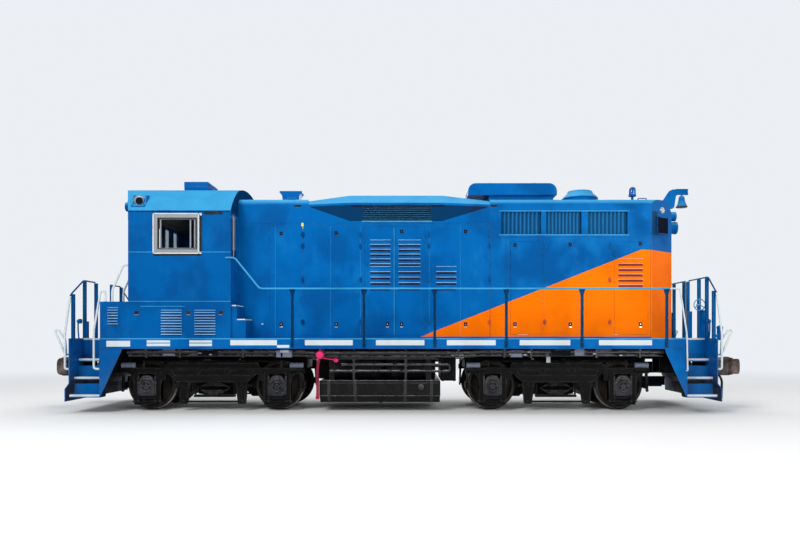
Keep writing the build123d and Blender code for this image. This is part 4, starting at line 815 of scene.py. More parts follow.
def make_cab_trim():
    """Seam beads, sliding sashes, window rims, the shade under the eave, gaskets, pulls, and painted shadows beside
    and under the window and over the pulls.
    """
    # The beads are in a lighter blue that paints their highlights
    beads = Piece("cab_beads", "highlight_blue")
    low_seam, high_seam = CAB_SEAMS_Z
    for ends, z in ((CAB_X, low_seam), ((CAB_X[0], WINDOW_X[0] - 0.04), high_seam),
                    ((WINDOW_X[1] + 0.04, CAB_X[1]), high_seam)):
        beads.plate(ends, span(z, 0.006), HALF_W, 0.004)
    beads.plate((-5.25, -4.35), (2.188, 2.2), HALF_W, 0.005)
    beads.make(bevel=0.0015)

    sash = Piece("cab_sashes", "window_metal")
    for x in (OPENING_X[0] + 0.045, OPENING_X[1] - 0.05, OPENING_X[1] - 0.14):
        sash.plate(span(x, 0.014), OPENING_Z, HALF_W - 0.05, 0.03)
    for z in (OPENING_Z[0] + 0.012, OPENING_Z[1] - 0.012):
        sash.plate(OPENING_X, span(z, 0.012), HALF_W - 0.05, 0.03)
    sash.make(bevel=0.003)

    rims = Piece("cab_window_rims", "white_paint", slot="window_metal")
    for x in (WINDOW_X[0] - 0.03, WINDOW_X[1] - 0.02):
        rims.plate(span(x, 0.012), (WINDOW_Z[0] - 0.04, WINDOW_Z[1] + 0.04), HALF_W + 0.015, 0.009)
    for z in (WINDOW_Z[0] - 0.028, WINDOW_Z[1] + 0.028):
        rims.plate((WINDOW_X[0] - 0.04, WINDOW_X[1] + 0.04), span(z, 0.012), HALF_W + 0.015, 0.009)
    knob_x = WINDOW_X[1] + 0.03
    rims.rod((knob_x, HALF_W + 0.01, 4.06), (knob_x, HALF_W + 0.03, 4.06), 0.02)
    rims.make(bevel=0.002)

    eave = Piece("cab_eave_shade", "post_paint")
    eave.plate((-5.49, -3.425), (4.122, 4.146), HALF_W, 0.003)
    eave.make()

    dark = Piece("cab_side_gaskets_and_shade", "rubber")
    # Painted shadow beside the right edge of the window's rim
    dark.plate((-4.043, -3.996), (3.31, 4.05), HALF_W + 0.0152, 0.0048)
    for x in OPENING_X:
        dark.plate(span(x, 0.008), OPENING_Z, HALF_W - 0.055, 0.071)
    for z in OPENING_Z:
        dark.plate(OPENING_X, span(z, 0.008), HALF_W - 0.055, 0.071)
    dark.plate((-3.95, -3.59), (4.075, 4.125), HALF_W, 0.02)
    # Painted shadow band under the window
    dark.plate((-4.98, -4.02), (3.225, 3.262), HALF_W, 0.006)
    # Painted shade over the pulls, where their recesses are
    for x in PULLS_X:
        dark.plate(span(x, 0.045), (2.03, 2.1), HALF_W, 0.002)
    dark.make(bevel=0.002)

    # Pulls on the cab's base, and a mirror's frame and a grab on the rear wall
    bright = Piece("cab_pulls", "window_metal")
    for x in PULLS_X:
        bright.plate(span(x, 0.04), (2.018, 2.028), HALF_W, 0.005)
    mirror_x = (CAB_X[1] + 0.004, CAB_X[1] + 0.03)
    for y in (1.3, 1.41):
        bright.box(mirror_x, span(y, 0.006), (3.36, 4.07))
    for z in (3.36, 4.07):
        bright.box(mirror_x, (1.294, 1.416), span(z, 0.006))
    bright.tube([(CAB_X[1] + out, 1.5, z) for out, z in ((0, 3.18), (0.05, 3.18), (0.05, 4.02), (0, 4.02))],
                0.009, bend=0.03, segments=8)
    bright.make(bevel=0.002)


def make_cab_inside():
    """What the open side windows show: cabinets, the console with its levers, posts and the lining."""
    console = Piece("cab_cabinets", "console_paint")
    console.box((-4.42, -4.14), (-0.35, 0.45), (CAB_FLOOR, 3.72))
    console.box((-4.1, -3.6), (-0.6, 0.6), (CAB_FLOOR, 3.5))
    console.box((-5.28, -4.92), (-1.28, -0.77), (3.16, 3.3))
    console.box((-4.6, -4.5), (-0.2, -0.12), (3.3, 4.0))
    console.make(bevel=0.012, sides=MIDDLE)
    dark = Piece("cab_posts", "cab_lining")
    for x, y in ((-4.75, 0.3), (-4.3, 0.9), (-3.9, -1.2)):
        dark.box(span(x, 0.04), span(y, 0.04), (CAB_FLOOR, 4.15))
    dark.box((-5.4, -3.5), (-1.3, 1.3), (4.1, 4.14))
    dark.make(bevel=0.006, sides=MIDDLE)
    lever = Piece("cab_levers", "bright_metal")
    for x, y in ((-5.12, -1.0), (-5.05, -0.86), (-5.2, -1.15)):
        lever.rod((x, y, 3.3), (x + 0.05, y, 3.42), 0.012)
        lever.turned([(0.001, 3.41), (0.02, 3.415), (0.026, 3.43), (0.02, 3.445), (0.001, 3.45)],
                     (x + 0.055, y), "Z", 12)
    lever.make(sides=MIDDLE)


def make_cab_lamps():
    """Class lamps in the cab roof's front corners."""
    case = Piece("cab_class_lamp_cases", "blue_paint")
    cheek = [(1.24, 4.25), (1.49, 4.25), (1.49, 4.28), (1.44, 4.30), (1.38, 4.5), (1.2, 4.52)]
    for ends in ((-5.47, -5.44), (-5.22, -5.19)):
        case.prism(cheek, "X", ends)
    case.box((-5.47, -5.19), (1.2, 1.49), (4.24, 4.262))
    case.make(bevel=0.004)
    barrel = Piece("cab_class_lamps", "window_metal")
    barrel.turned([(0.001, 1.2), (0.1, 1.2), (0.1, 1.44), (0.085, 1.452), (0.03, 1.458), (0.001, 1.458)],
                  (-5.33, 4.38), "Y")
    barrel.make()
    lens = Piece("cab_class_lenses", "board_dark", slot="glass")
    lens.turned([(0.001, 1.45), (0.078, 1.45), (0.072, 1.464), (0.001, 1.468)], (-5.314, 4.368), "Y")
    lens.make()


def make_sill_trim():
    """A lip along the foot of each side sill, a painted highlight along the deck's edge and nosings on the rear
    steps.
    """
    run = (FRONT_END + WELL, REAR_END - WELL)
    lip = Piece("sill_lips", "blue_paint")
    lip.plate(run, (SILL_BOTTOM, SILL_BOTTOM + 0.014), HALF_W, 0.012)
    lip.make(bevel=0.003)
    # A lighter blue that paints the highlight along the deck's edge
    edge = Piece("deck_edges", "highlight_blue")
    edge.plate(run, (DECK_TOP - 0.02, DECK_TOP), HALF_W, 0.006)
    edge.make(bevel=0.002)
    rear = Piece("rear_step_nosings", "white_paint")
    for low, high, top in ((-3.411, -3.3, 2.22), (-3.3, -3.117, 1.935)):
        rear.box((low + 0.008, high), (1.455, 1.5015), (top - 0.02, top + 0.003))
        rear.box((high - 0.01, high + 0.002), (0.94, 1.5015), (top - 0.02, top + 0.003))
    rear.make()


# Heights of the treads of the corner steps
TREAD_Z = (0.39, 0.741, 1.113)


def make_step_trim():
    """White nosings on the treads and the deck's edge, and rows of raised grip on each tread."""
    nosing = Piece("step_nosings", "white_paint")
    grip = Piece("step_grips", "grey_steel")
    riser = Piece("deck_risers", "blue_paint")
    across = (0.012 - WELL, -0.02)
    for level, z in enumerate(TREAD_Z):
        edge = HALF_W - (HALF_W - WELL_Y) / len(TREAD_Z) * level
        nosing.box(across, span(edge, 0.002), (z - 0.038, z + 0.003))
        for row in range(5):
            for stud in range(12):
                x, y = 0.05 - WELL + stud * 0.05, edge - 0.03 - row * 0.035
                grip.rod((x, y, z), (x, y, z + 0.004), 0.008, segments=6)
    nosing.box(across, span(WELL_Y, 0.002), (DECK_TOP - 0.035, DECK_TOP + 0.002))
    riser.box((0.012 - WELL, -0.021), (WELL_Y - 0.006, WELL_Y + 0.001), (1.2, DECK_TOP - 0.016))
    for piece in (nosing, grip, riser):
        piece.moved(AT_ENDS)
        piece.make()


# Rails at the ends: how far in from the side, and the top, of each post
END_POSTS = {"front": ((0.127, 2.47), (0.627, 2.768), (1.157, 2.768)),
             "rear": ((0.127, 2.54), (0.457, 2.83), (0.85, 2.83), (1.44, 2.83))}
RAIL_R = 0.017
WHITE_R = 0.022
GRAB_Y = HALF_W - 0.05
GRAB_FOOT = 0.912


def make_end_rails():
    """Blue channel posts under a blue top rail, and white grabs, at both ends."""
    for name, end, sign in ENDS:
        posts = [(HALF_W - inward, top) for inward, top in END_POSTS[name]]
        start = posts[0][1] - 0.06
        blue = Piece(f"{name}_end_posts", "end_posts")
        blue.tube([(-0.01, GRAB_Y - 0.003, start), *((-0.01, y, top) for y, top in posts)], RAIL_R)
        for y, top in posts:
            for ahead, *across in ((-0.01, -0.025, 0.025), (-0.068, -0.025, -0.016), (-0.068, 0.016, 0.025)):
                blue.box((ahead, -0.002), [y + value for value in across], (DECK_TOP - 0.1, top - 0.02))
            blue.studs([(-0.002, y, DECK_TOP + dz) for dz in (0.04, 0.1)], out=(1, 0, 0))
        blue.make(bevel=0.002, replaces=(f"{name}_end_rails",), at=(end, sign))
        grabs = Piece(f"{name}_end_grabs", "white_paint")
        grabs.tube([(-0.01, GRAB_Y, start), (0.098, GRAB_Y, 1.64), (0.098, GRAB_Y, GRAB_FOOT),
                    (0, GRAB_Y, GRAB_FOOT)], WHITE_R)
        grabs.studs([(0, y, GRAB_FOOT) for y in span(GRAB_Y, 0.03)], out=(1, 0, 0))
        grabs.make(at=(end, sign))


LANDING_Z = 2.29


def make_stair_rails():
    rails = Piece("cab_stair_rails", "white_paint")
    for y in (0.95, 1.5):
        rails.tube([(-5.848, y, LANDING_Z), (-5.848, y, 2.532), (-5.62, y, 3.04), (-5.505, y, 3.04)], WHITE_R)
    rails.tube([(-5.99, 1.5, LANDING_Z), (-5.99, 1.5, 2.51), (-6.085, 1.5, 2.51), (-6.227, 1.5, 1.694),
                (-6.227, 1.5, GRAB_FOOT), (-6.092, 1.5, GRAB_FOOT)], WHITE_R)
    for at in ((-5.848, 0.95), (-5.848, 1.5), (-5.99, 1.5)):
        rails.turned([(0.035, LANDING_Z), (0.035, LANDING_Z + 0.01), (0.02, LANDING_Z + 0.012)], at, "Z", 16)
    rails.make(replaces=("stair_rails",))


RAIL_Y = 1.575
RAIL_Z = 2.555
CAB_RAIL_Z = 3.185
RAIL_POSTS = (-2.148, -0.689, 0.754, 2.215, 3.76, 5.487)


def make_side_rails():
    """The walkway's rail: a run in a lighter blue that paints its highlight, ending in a white grab, on dark flared
    posts.
    """
    # A lighter blue that paints the rail's highlight
    run = Piece("walkway_rails", "highlight_blue", slot="rail_paint")
    run.tube([(-3.509, RAIL_Y, CAB_RAIL_Z), (-3.323, RAIL_Y, CAB_RAIL_Z), (-2.815, RAIL_Y, RAIL_Z),
              (5.55, RAIL_Y, RAIL_Z)], RAIL_R)
    run.rod((-3.471, HALF_W, CAB_RAIL_Z), (-3.471, RAIL_Y, CAB_RAIL_Z), 0.014)
    run.make()
    white = Piece("walkway_grabs", "white_paint")
    white.tube([(5.55, RAIL_Y, RAIL_Z), (5.75, RAIL_Y, RAIL_Z), (5.89, RAIL_Y, 1.64), (5.907, RAIL_Y, 0.895),
                (5.9, HALF_W, 0.88)], RAIL_R, bend=0.05)
    white.make()
    posts = Piece("walkway_posts", "post_paint", slot="rail_paint")
    half = [(0.03, 1.35), (0.03, RAIL_Z - 0.14), (0.064, RAIL_Z - 0.03), (0.064, RAIL_Z - 0.012)]
    for x in RAIL_POSTS:
        posts.prism(both_halves(half, x), "Y", (HALF_W + 0.001, HALF_W + 0.009))
        for flank in (-1, 1):
            posts.plate((x + flank * 0.022, x + flank * 0.03), (1.36, RAIL_Z - 0.13), HALF_W + 0.009, 0.013)
        posts.studs([(x, HALF_W + 0.009, z) for z in (1.39, 1.47)], 0.012)
        posts.plate(span(x, 0.045), (RAIL_Z - 0.022, RAIL_Z - 0.014), HALF_W + 0.004, 0.036)
    posts.make(bevel=0.0015, replaces=("side_handrails",))


PIPE_Y = 1.15
PIPE_Z = (0.848, 0.981, 1.114)
RESERVOIR_AT = (0.9, 0.89)


def make_tank():
    """Straps, seams and fittings on the tank, the pipes and reservoirs over it and the red emergency valve."""
    # Pipe paint: its pale upward faces paint highlight lines along the tank's edges and straps
    steel = Piece("tank_straps", "pipe_paint")
    for x in (-1.45, -0.9, 0.15, 0.7):
        steel.box(span(x, 0.03), (1.2, 1.208), (0.33, 0.655))
        steel.prism([(1.2, 0.33), (1.208, 0.33), (1.063, 0.185), (1.06, 0.19)], "X", span(x, 0.03))
        steel.box(span(x, 0.03), (0.9, 1.208), (0.65, 0.657))
    for x in (-1.642, 0.879):
        steel.box(span(x, 0.006), (-1.205, 1.205), (0.335, 0.652))
    for z, radius in ((0.652, 0.008), (0.335, 0.006)):
        steel.rod((-1.64, 1.2, z), (0.877, 1.2, z), radius, 8)
    steel.box((-1.642, 0.879), (1.2, 1.204), (0.6, 0.606))
    steel.turned([(0.05, 1.19), (0.05, 1.235), (0.062, 1.235), (0.062, 1.262), (0.05, 1.27)], (0.48, 0.52),
                 "Y", 24)
    steel.turned([(0.035, 0.14), (0.045, 0.15), (0.045, 0.2)], (-0.38, 0.7), "Z", 16)
    steel.make(bevel=0.002)

    # Pipe paint: its pale upward faces paint highlights along the pipes
    pipes = Piece("tank_pipework", "pipe_paint")
    low, middle, high = PIPE_Z
    pipes.tube([(-1.242, PIPE_Y, high), (0.812, PIPE_Y, high)], 0.025)
    pipes.tube([(-1.162, PIPE_Y, middle), (1.09, PIPE_Y, middle), (1.09, PIPE_Y, low), (-1.402, PIPE_Y, low)],
               0.025)
    for x, z in ((-1.242, high), (0.812, high), (-1.162, middle), (-1.402, low)):
        pipes.turned([(0.034, x - 0.03), (0.034, x + 0.03)], (PIPE_Y, z), "X", 8)
    for x in (-0.93, 0.16):
        pipes.box(span(x, 0.02), (1.128, 1.16), (0.65, SILL_BOTTOM))
        for z in PIPE_Z:
            pipes.box(span(x, 0.035), (PIPE_Y, 1.182), span(z, 0.036))
    pipes.make(bevel=0.002, replaces=("tank_pipes",))

    air = Piece("air_reservoirs", "black_paint")
    for low, high in ((-1.5, -0.31), (-0.29, 0.78)):
        dome = ((0.001, 0), (0.13, 0.015), (0.18, 0.05), (0.195, 0.1))
        air.turned([(radius, low + along) for radius, along in dome]
                   + [(radius, high - along) for radius, along in reversed(dome)], RESERVOIR_AT, "X")
        for x in (low + 0.2, high - 0.2):
            air.turned([(0.2, end) for end in span(x, 0.025)], RESERVOIR_AT, "X")
            air.box(span(x, 0.025), (0.88, 0.92), (1.08, 1.335))
    air.moved(ACROSS)
    air.box((-1.78, 0.8), (-0.3, 0.3), (0.64, 1.085))
    for x in (-1.78, -1.56, -0.97, -0.38, 0.21, 0.8):
        air.box(span(x, 0.012), (-0.34, 0.34), (0.64, 1.09))
    air.box((0.92, 1.24), (-0.75, 0.75), (0.62, 1.12))
    for x in (0.96, 1.2):
        air.box(span(x, 0.015), (-0.76, 0.76), (0.61, 1.335))
    air.make(bevel=0.003, sides=MIDDLE)

    red = Piece("emergency_valve", "red_paint")
    bulb = [(0.02, 1.39), (0.06, 1.4), (0.084, 1.43), (0.088, 1.46), (0.084, 1.49), (0.06, 1.52), (0.02, 1.53)]
    red.turned(bulb, (-1.6, 1.2), "Y", 24)
    red.rod((-1.6, 1.44, 1.26), (-1.6, 1.44, 1.34), 0.02)
    red.tube([(-1.3, 1.22, 1.085), (-1.36, 1.24, 1.1), (-1.5, 1.34, 1.12), (-1.58, 1.42, 1.16)], 0.014, bend=0.05)
    red.turned([(0.02, 1.16), (0.045, 1.17), (0.056, 1.2), (0.045, 1.24), (0.02, 1.25)], (-1.3, 1.085), "Y", 20)
    red.make(bevel=0.002)
    hose = Piece("emergency_pipe", "red_hose")
    hose.tube([(-1.6, 1.44, 1.2), (-1.62, 1.44, 1.13), (-1.655, 1.4, 0.95), (-1.672, 1.28, 0.6),
               (-1.68, 1.235, 0.31)], 0.031, bend=0.16)
    hose.turned([(0.04, 0.27), (0.04, 0.33), (0.034, 0.335)], (-1.68, 1.235), "Z", 16)
    hose.make(bevel=0.002)


def make_underfloor():
    """Train lines on brackets, and junction boxes, under the sills and the floor."""
    # Pipe paint: its pale upward faces paint highlights along the pipes
    pipes = Piece("train_lines", "pipe_paint")
    for y, z, radius in ((1.36, 1.25, 0.03), (1.3, 1.18, 0.022), (1.22, 1.27, 0.018), (0.62, 1.24, 0.03)):
        sag = z - 0.02
        pipes.tube([(x, y, at) for x, at in ((-5.6, z), (-2.0, z), (-1.8, sag), (1.5, sag), (1.7, z), (5.5, z))],
                   radius, bend=0.1)
    for x in (-5.2, -4.5, -3.2, -2.4, -1.55, 1.25, 2.2, 2.75, 4.1, 5.0):
        pipes.box(span(x, 0.02), (1.19, 1.42), (1.29, 1.345))
        pipes.box(span(x, 0.02), (1.33, 1.39), (1.14, 1.3))
    pipes.make(bevel=0.002)
    boxes = Piece("junction_boxes", "grey_steel")
    for x, y, z, half in ((-4.75, 1.25, 1.25, 0.13), (-4.25, 1.1, 1.24, 0.1), (-2.35, 1.3, 1.22, 0.16),
                          (2.45, 1.28, 1.22, 0.12), (4.3, 1.2, 1.25, 0.14), (3.75, 1.3, 1.25, 0.1)):
        boxes.box(span(x, half), span(y, 0.09), span(z, 0.07))
        boxes.studs([(a, y + 0.09, b) for a in span(x, half * 0.8) for b in span(z, 0.05)])
    boxes.make(bevel=0.008)


def make_ducts():
    """Air ducts to the traction motors over each truck, and small fittings that hang from the sills."""
    ducts = Piece("motor_ducts", "black_paint")
    ducts.box((0.42, 1.9), (-0.4, 0.4), (0.885, 1.095))
    for a in (0.6, 1.0, 1.4, 1.8):
        ducts.box(span(a, 0.012), (-0.412, 0.412), (0.88, 1.095))
    ducts.moved([(x, along, 1) for x in TRUCK_X.values() for along in (-1, 1)])
    ducts.make(bevel=0.01, sides=MIDDLE)
    pale = Piece("sill_fittings", "pale_steel")
    for x, y, z in (((3.1, 3.185), (1.19, 1.215), (1.03, 1.29)), ((1.1, 1.17), (1.2, 1.3), (1.14, 1.22)),
                    ((1.19, 1.37), (1.22, 1.3), (1.13, 1.2)), ((-2.43, -2.25), (1.28, 1.4), (1.245, 1.3))):
        pale.box(x, y, z)
    pale.rod((1.37, 1.25, 1.18), (1.62, 1.25, 1.2), 0.012)
    pale.turned([(0.02, 2.3), (0.03, 2.31), (0.03, 2.37), (0.02, 2.38)], (1.33, 1.23), "X", 12)
    for x, z in ((-4.08, 1.235), (-3.86, 1.205), (2.62, 1.2), (2.7, 1.26), (4.05, 1.22), (4.6, 1.19)):
        pale.rod((x - 0.03, 1.4, z), (x + 0.03, 1.4, z), 0.014)
    pale.make(bevel=0.004)


# Half of a wheelset, from the journal's end to its middle: (radius, Y)
WHEELSET_HALF = (
    (0.082, 1.07), (0.082, 0.85), (0.1, 0.845), (0.135, 0.812), (0.15, 0.79), (0.2, 0.775), (0.33, 0.762),
    (0.41, 0.775), (0.44, 0.8), (0.446, 0.82), (0.5, 0.82), (0.505, 0.814), (0.508, 0.74), (0.511, 0.725),
    (0.524, 0.716), (0.534, 0.706), (0.536, 0.699), (0.533, 0.69), (0.522, 0.681), (0.446, 0.68), (0.44, 0.7),
    (0.4, 0.735), (0.3, 0.74), (0.18, 0.735), (0.15, 0.71), (0.135, 0.66), (0.095, 0.65), (0.095, 0.0),
)


def make_wheels():
    """Wheels with a flanged tread, dished plate and hub, on axles with their journals."""
    whole = [*WHEELSET_HALF, *((radius, -y) for radius, y in reversed(WHEELSET_HALF[:-1]))]
    for end, middle in TRUCK_X.items():
        for number, side in ((1, -1), (2, 1)):
            x = middle + side * AXLE_OUT
            name = f"{end}_wheelset_{number}"
            wheels = Piece(f"{name}_wheels", "wheel_steel", name)
            for a, b in compass(4, 45):
                a, b = x + 0.24 * a, AXLE_Z + 0.24 * b
                wheels.rod((a, 0.75, b), (a, 0.772, b), 0.02)
            wheels.moved(ACROSS)
            wheels.turned(whole, (x, AXLE_Z), "Y", 72)
            wheels.make(replaces=(name,), sides=MIDDLE)


# In the pieces of a truck X counts from the truck's middle
HOLE_AT = (0.311, 0.844)
BOX_Z = 0.52
FOOT_STUDS = (1.1, 1.19, 1.555, 1.645)


def make_truck(end):
    """The side frames' ribs and openings, and the journal boxes in them."""
    at = (TRUCK_X[end], 1)
    body = f"{end}_truck"

    # Ribs and pads cast on the side frames
    ribs = Piece(f"{end}_truck_ribs", "black_paint", body)
    ribs.bar((0.735, 0.622), (0.9, 0.77), 0.022, (0.945, 1.09))
    ribs.bar((1.7, 0.79), (1.93, 0.83), 0.02, (0.95, 1.088))
    for ends in ((1.0825, 1.105), (1.185, 1.2065), (1.5365, 1.558), (1.64, 1.6605)):
        ribs.box(ends, (0.95, 1.092), (0.2, 0.82))
    for ends in ((1.07, 1.22), (1.525, 1.675)):
        ribs.box(ends, (0.95, 1.1), (0.19, 0.222))
    ribs.box((0.98, 1.06), (0.985, 1.1), (0.66, 0.86))
    ribs.studs([(x, 1.1, 0.206) for x in FOOT_STUDS], 0.014, 0.014)
    ribs.studs([(HOLE_AT[0] + 0.068 * a, FRAME_FACE - 0.025, HOLE_AT[1] + 0.068 * b) for a, b in compass(8)],
               0.008, 0.006)
    ribs.turned([(0.056, FRAME_FACE - 0.03), (0.056, FRAME_FACE - 0.012), (0.046, FRAME_FACE - 0.012)],
                HOLE_AT, "Y", 24)
    ribs.moved(ALONG)
    for half, y, z in ((1.94, (0.945, 1.09), (0.89, 0.915)), (0.735, (0.945, 1.095), (0.61, 0.634)),
                       (0.96, (0.95, 1.085), (1.006, 1.024)), (0.72, (FRAME_FACE - 0.025, 1.083), (0.745, 0.765))):
        ribs.box((-half, half), y, z)
    ribs.make(bevel=0.005, at=at)

    # Painted shade: dark discs and slots where the frame has openings
    holes = Piece(f"{end}_truck_openings", "dark_gap", body)
    holes.turned([(0.001, FRAME_FACE - 0.02), (0.047, FRAME_FACE - 0.02), (0.047, FRAME_FACE - 0.03)],
                 HOLE_AT, "Y", 20)
    holes.box(span(AXLE_OUT, 0.155), (1.0, 1.05), (0.262, 0.328))
    holes.moved(ALONG)
    holes.make(at=at)

    # Journal boxes: hooded cover with ribs and bolts, spring seat and wear plates
    # Journal iron: its pale upward faces paint highlights
    boxes = Piece(f"{end}_journal_boxes", "journal_iron", body)
    x = AXLE_OUT
    boxes.prism(arc_points(x, 0.6, 0.16, 0, 180, 12)
                + [(x - 0.16, 0.36), (x - 0.12, 0.33), (x + 0.12, 0.33), (x + 0.16, 0.36)], "Y", (1.1, 1.128))
    boxes.turned([(0.001, 1.15), (0.045, 1.154), (0.06, 1.144), (0.085, 1.144), (0.096, 1.154), (0.112, 1.15),
                  (0.124, 1.132), (0.124, 1.12)], (x, BOX_Z), "Y")
    for a, b in compass(5, 90):
        boxes.bar(*((x + reach * a, BOX_Z + reach * b) for reach in (0.05, 0.115)), 0.02, (1.14, 1.158))
    for radius in (0.145, 0.172):
        boxes.tube([(a, 1.128, b) for a, b in arc_points(x, 0.56, radius, 15, 165, 10)], 0.009, bend=0.01,
                   segments=6)
    boxes.studs([(a, 1.128, BOX_Z + dz) for a in span(x, 0.135) for dz in (-0.13, 0.1)], 0.015, 0.014)
    for flank in (-1, 1):
        boxes.box((x + flank * 0.163, x + flank * 0.196), (1.05, 1.11), (0.35, 0.74))
        boxes.studs([(x + flank * 0.18, 1.11, z) for z in (0.4, 0.48, 0.6, 0.69)], height=0.01)
    boxes.box(span(x, 0.05), (1.1, 1.15), (0.66, 0.7))
    boxes.rod((x - 0.06, 1.14, 0.68), (x + 0.06, 1.14, 0.68), 0.014)
    boxes.moved(ALONG)
    boxes.make(bevel=0.003, at=at)


SPRING_Y = (0.8, 0.96)
SPRING_Z = 0.4775
LEAF_THICK = 0.0115


def make_bolster(end):
    """Bolster over full elliptic leaf springs, on planks hung from the transoms."""
    bolster = Piece(f"{end}_bolster_springs", "black_paint", f"{end}_truck")
    bolster.box((0.4, 0.43), (0.85, 0.91), (0.3, 0.76))
    bolster.box((0.4, 0.44), (0.85, 0.91), (0.72, 0.76))
    bolster.rod((0.415, 0.81, 0.31), (0.415, 0.95, 0.31), 0.024)
    bolster.rod((0.325, SPRING_Y[0], SPRING_Z), (0.325, SPRING_Y[1], SPRING_Z), 0.022)
    bolster.moved(ALONG)
    for leaf in range(9):
        half = 0.32 - 0.024 * leaf
        rise = 0.142 - leaf * LEAF_THICK * 0.95
        for flip in (-1, 1):
            top = [(half * t / 6, flip * rise * (1 - (half * t / 6 / 0.325) ** 2 * 0.96)) for t in range(-6, 7)]
            under = [(a, b - flip * LEAF_THICK) for a, b in reversed(top)]
            bolster.prism([(a, SPRING_Z + b) for a, b in top + under], "Y", SPRING_Y)
    bolster.box((-0.07, 0.07), (0.812, 0.948), (0.335, 0.41))
    bolster.box((-0.07, 0.07), (0.812, 0.948), (0.545, 0.73))
    bolster.box((-0.43, 0.43), (0.82, 0.94), (0.285, 0.335))
    bolster.studs([(x, 0.948, z) for x in (-0.045, 0.045) for z in (0.36, 0.59)], 0.014, 0.012)
    bolster.moved(ACROSS)
    bolster.prism(both_halves([(0.2, 0.29), (0.47, 0.32), (0.47, 0.66), (0.2, 0.7)]), "Y", (-0.5, 0.5))
    for x in (-0.33, 0, 0.33):
        bolster.box(span(x, 0.015), (-0.515, 0.515), (0.34, 0.64))
    bolster.box((-0.18, 0.18), (-0.955, 0.955), (0.73, 0.8395))
    bolster.turned([(0.34, 0.8), (0.34, 0.8595), (0.3, 0.8595)], (0, 0), "Z", 48)
    bolster.make(bevel=0.003, replaces=(f"{end}_truck_bolster",), sides=MIDDLE, at=(TRUCK_X[end], 1))


CYLINDER_AT = (1.055, 0.97)
PULL_ROD_Z = 1.05


def make_brakes(end):
    """Brake cylinders, pull rods, levers, hangers and shoes."""
    at = (TRUCK_X[end], 1)
    y, z = CYLINDER_AT
    cylinders = Piece(f"{end}_brake_cylinders", "grey_steel", f"{end}_truck")
    cylinders.turned([(0.001, 1.625), (0.03, 1.63), (0.05, 1.64), (0.062, 1.645), (0.062, 1.665), (0.054, 1.67),
                      (0.054, 1.885), (0.062, 1.89), (0.062, 1.91), (0.045, 1.92), (0.001, 1.922)],
                     CYLINDER_AT, "X", 28)
    for rib in range(9):
        cylinders.turned([(0.0585, x) for x in span(1.69 + 0.022 * rib, 0.006)], CYLINDER_AT, "X", 28)
    for a, b in compass(6):
        a, b = y + 0.052 * a, z + 0.052 * b
        cylinders.rod((1.635, a, b), (1.675, a, b), 0.007, 6)
    cylinders.moved(ALONG)
    cylinders.make(bevel=0.002, at=at)

    gear = Piece(f"{end}_brake_gear", "black_paint", f"{end}_truck")
    gear.turned([(0.034, 1.63), (0.038, 1.66), (0.038, 1.9), (0.03, 1.93)], (1.112, 0.865), "X", 16)
    gear.rod((1.454, y, z), (1.64, y, z), 0.014)
    # Pins across the gear: X, the span of Y, Z and the radius
    for x, (low, high), height, radius in (
            (1.454, (1.03, 1.08), z, 0.02), (1.454, (1.03, 1.08), PULL_ROD_Z, 0.018),
            (0.615, (0.96, 1.075), 0.2, 0.026), (0.6, (0.96, 1.075), 0.57, 0.03),
            (1.912, (0.97, 1.06), 0.44, 0.022), (1.895, (0.97, 1.06), 0.76, 0.022)):
        gear.rod((x, low, height), (x, high, height), radius)
    gear.bar((1.454, 0.92), (1.454, 1.075), 0.034, (1.04, 1.07))
    gear.bar((0.5, 0.6), (0.565, 0.17), 0.02, (1.045, 1.065))
    gear.bar((0.72, 0.6), (0.675, 0.17), 0.02, (1.045, 1.065))
    gear.prism([(0.456, 0.623), (0.751, 0.623), (0.73, 0.5), (0.7, 0.17), (0.68, 0.15), (0.55, 0.15),
                (0.53, 0.17), (0.49, 0.45)], "Y", (0.985, 1.045))
    gear.prism([(1.93, 0.406), (1.892, 0.406), (1.87, 0.8), (1.92, 0.8)], "Y", (0.985, 1.045))
    gear.box((0.66, 0.812), (0.725, 0.985), (0.511, 0.561))
    gear.box((0.812, 0.857), (0.725, 0.82), (0.466, 0.606))
    gear.box((1.886, 1.93), (0.725, 1.045), (0.466, 0.606))
    gear.rod((0.53, y, PULL_ROD_Z), (0.67, y, PULL_ROD_Z), 0.026)
    gear.moved(ALONG)
    gear.rod((-1.437, y, PULL_ROD_Z), (1.437, y, PULL_ROD_Z), 0.016)
    gear.rod((-0.62, 1.0, 0.2), (0.62, 1.0, 0.2), 0.02)
    gear.make(bevel=0.004, replaces=(f"{end}_truck_brakes",), at=at)


# Plans of a coupler's castings, X from its face inward and Y across, with their foot and top
COUPLER_CASTINGS = (
    (((0.42, -0.12), (0.42, 0.12), (0.31, 0.17), (0.24, 0.25), (0.06, 0.268), (0.01, 0.24), (0.03, 0.2),
      (0.095, 0.13), (0.125, 0.05), (0.135, -0.03), (0.15, -0.09), (0.28, -0.17)), 0.715, 1.093),
    (((0.4, -0.09), (0.4, 0.09), (0.3, 0.14), (0.22, 0.2), (0.08, 0.215), (0.06, 0.18), (0.12, 0.1),
      (0.16, -0.08)), 0.695, 1.113),
    (((0.27, -0.12), (0.14, -0.02), (0.085, -0.02), (0.04, -0.035), (0.008, -0.06), (0.0, -0.1), (0.0, -0.16),
      (0.02, -0.2), (0.07, -0.225), (0.2, -0.21)), 0.735, 1.073),
)
COUPLER_FACE = 7.65
# How the castings round off: (distance from the foot or top, scale of the plan)
CASTING_EDGE = ((0, 0.72), (0.02, 0.86), (0.06, 0.96), (0.12, 1))
LEVER_Z = 1.2


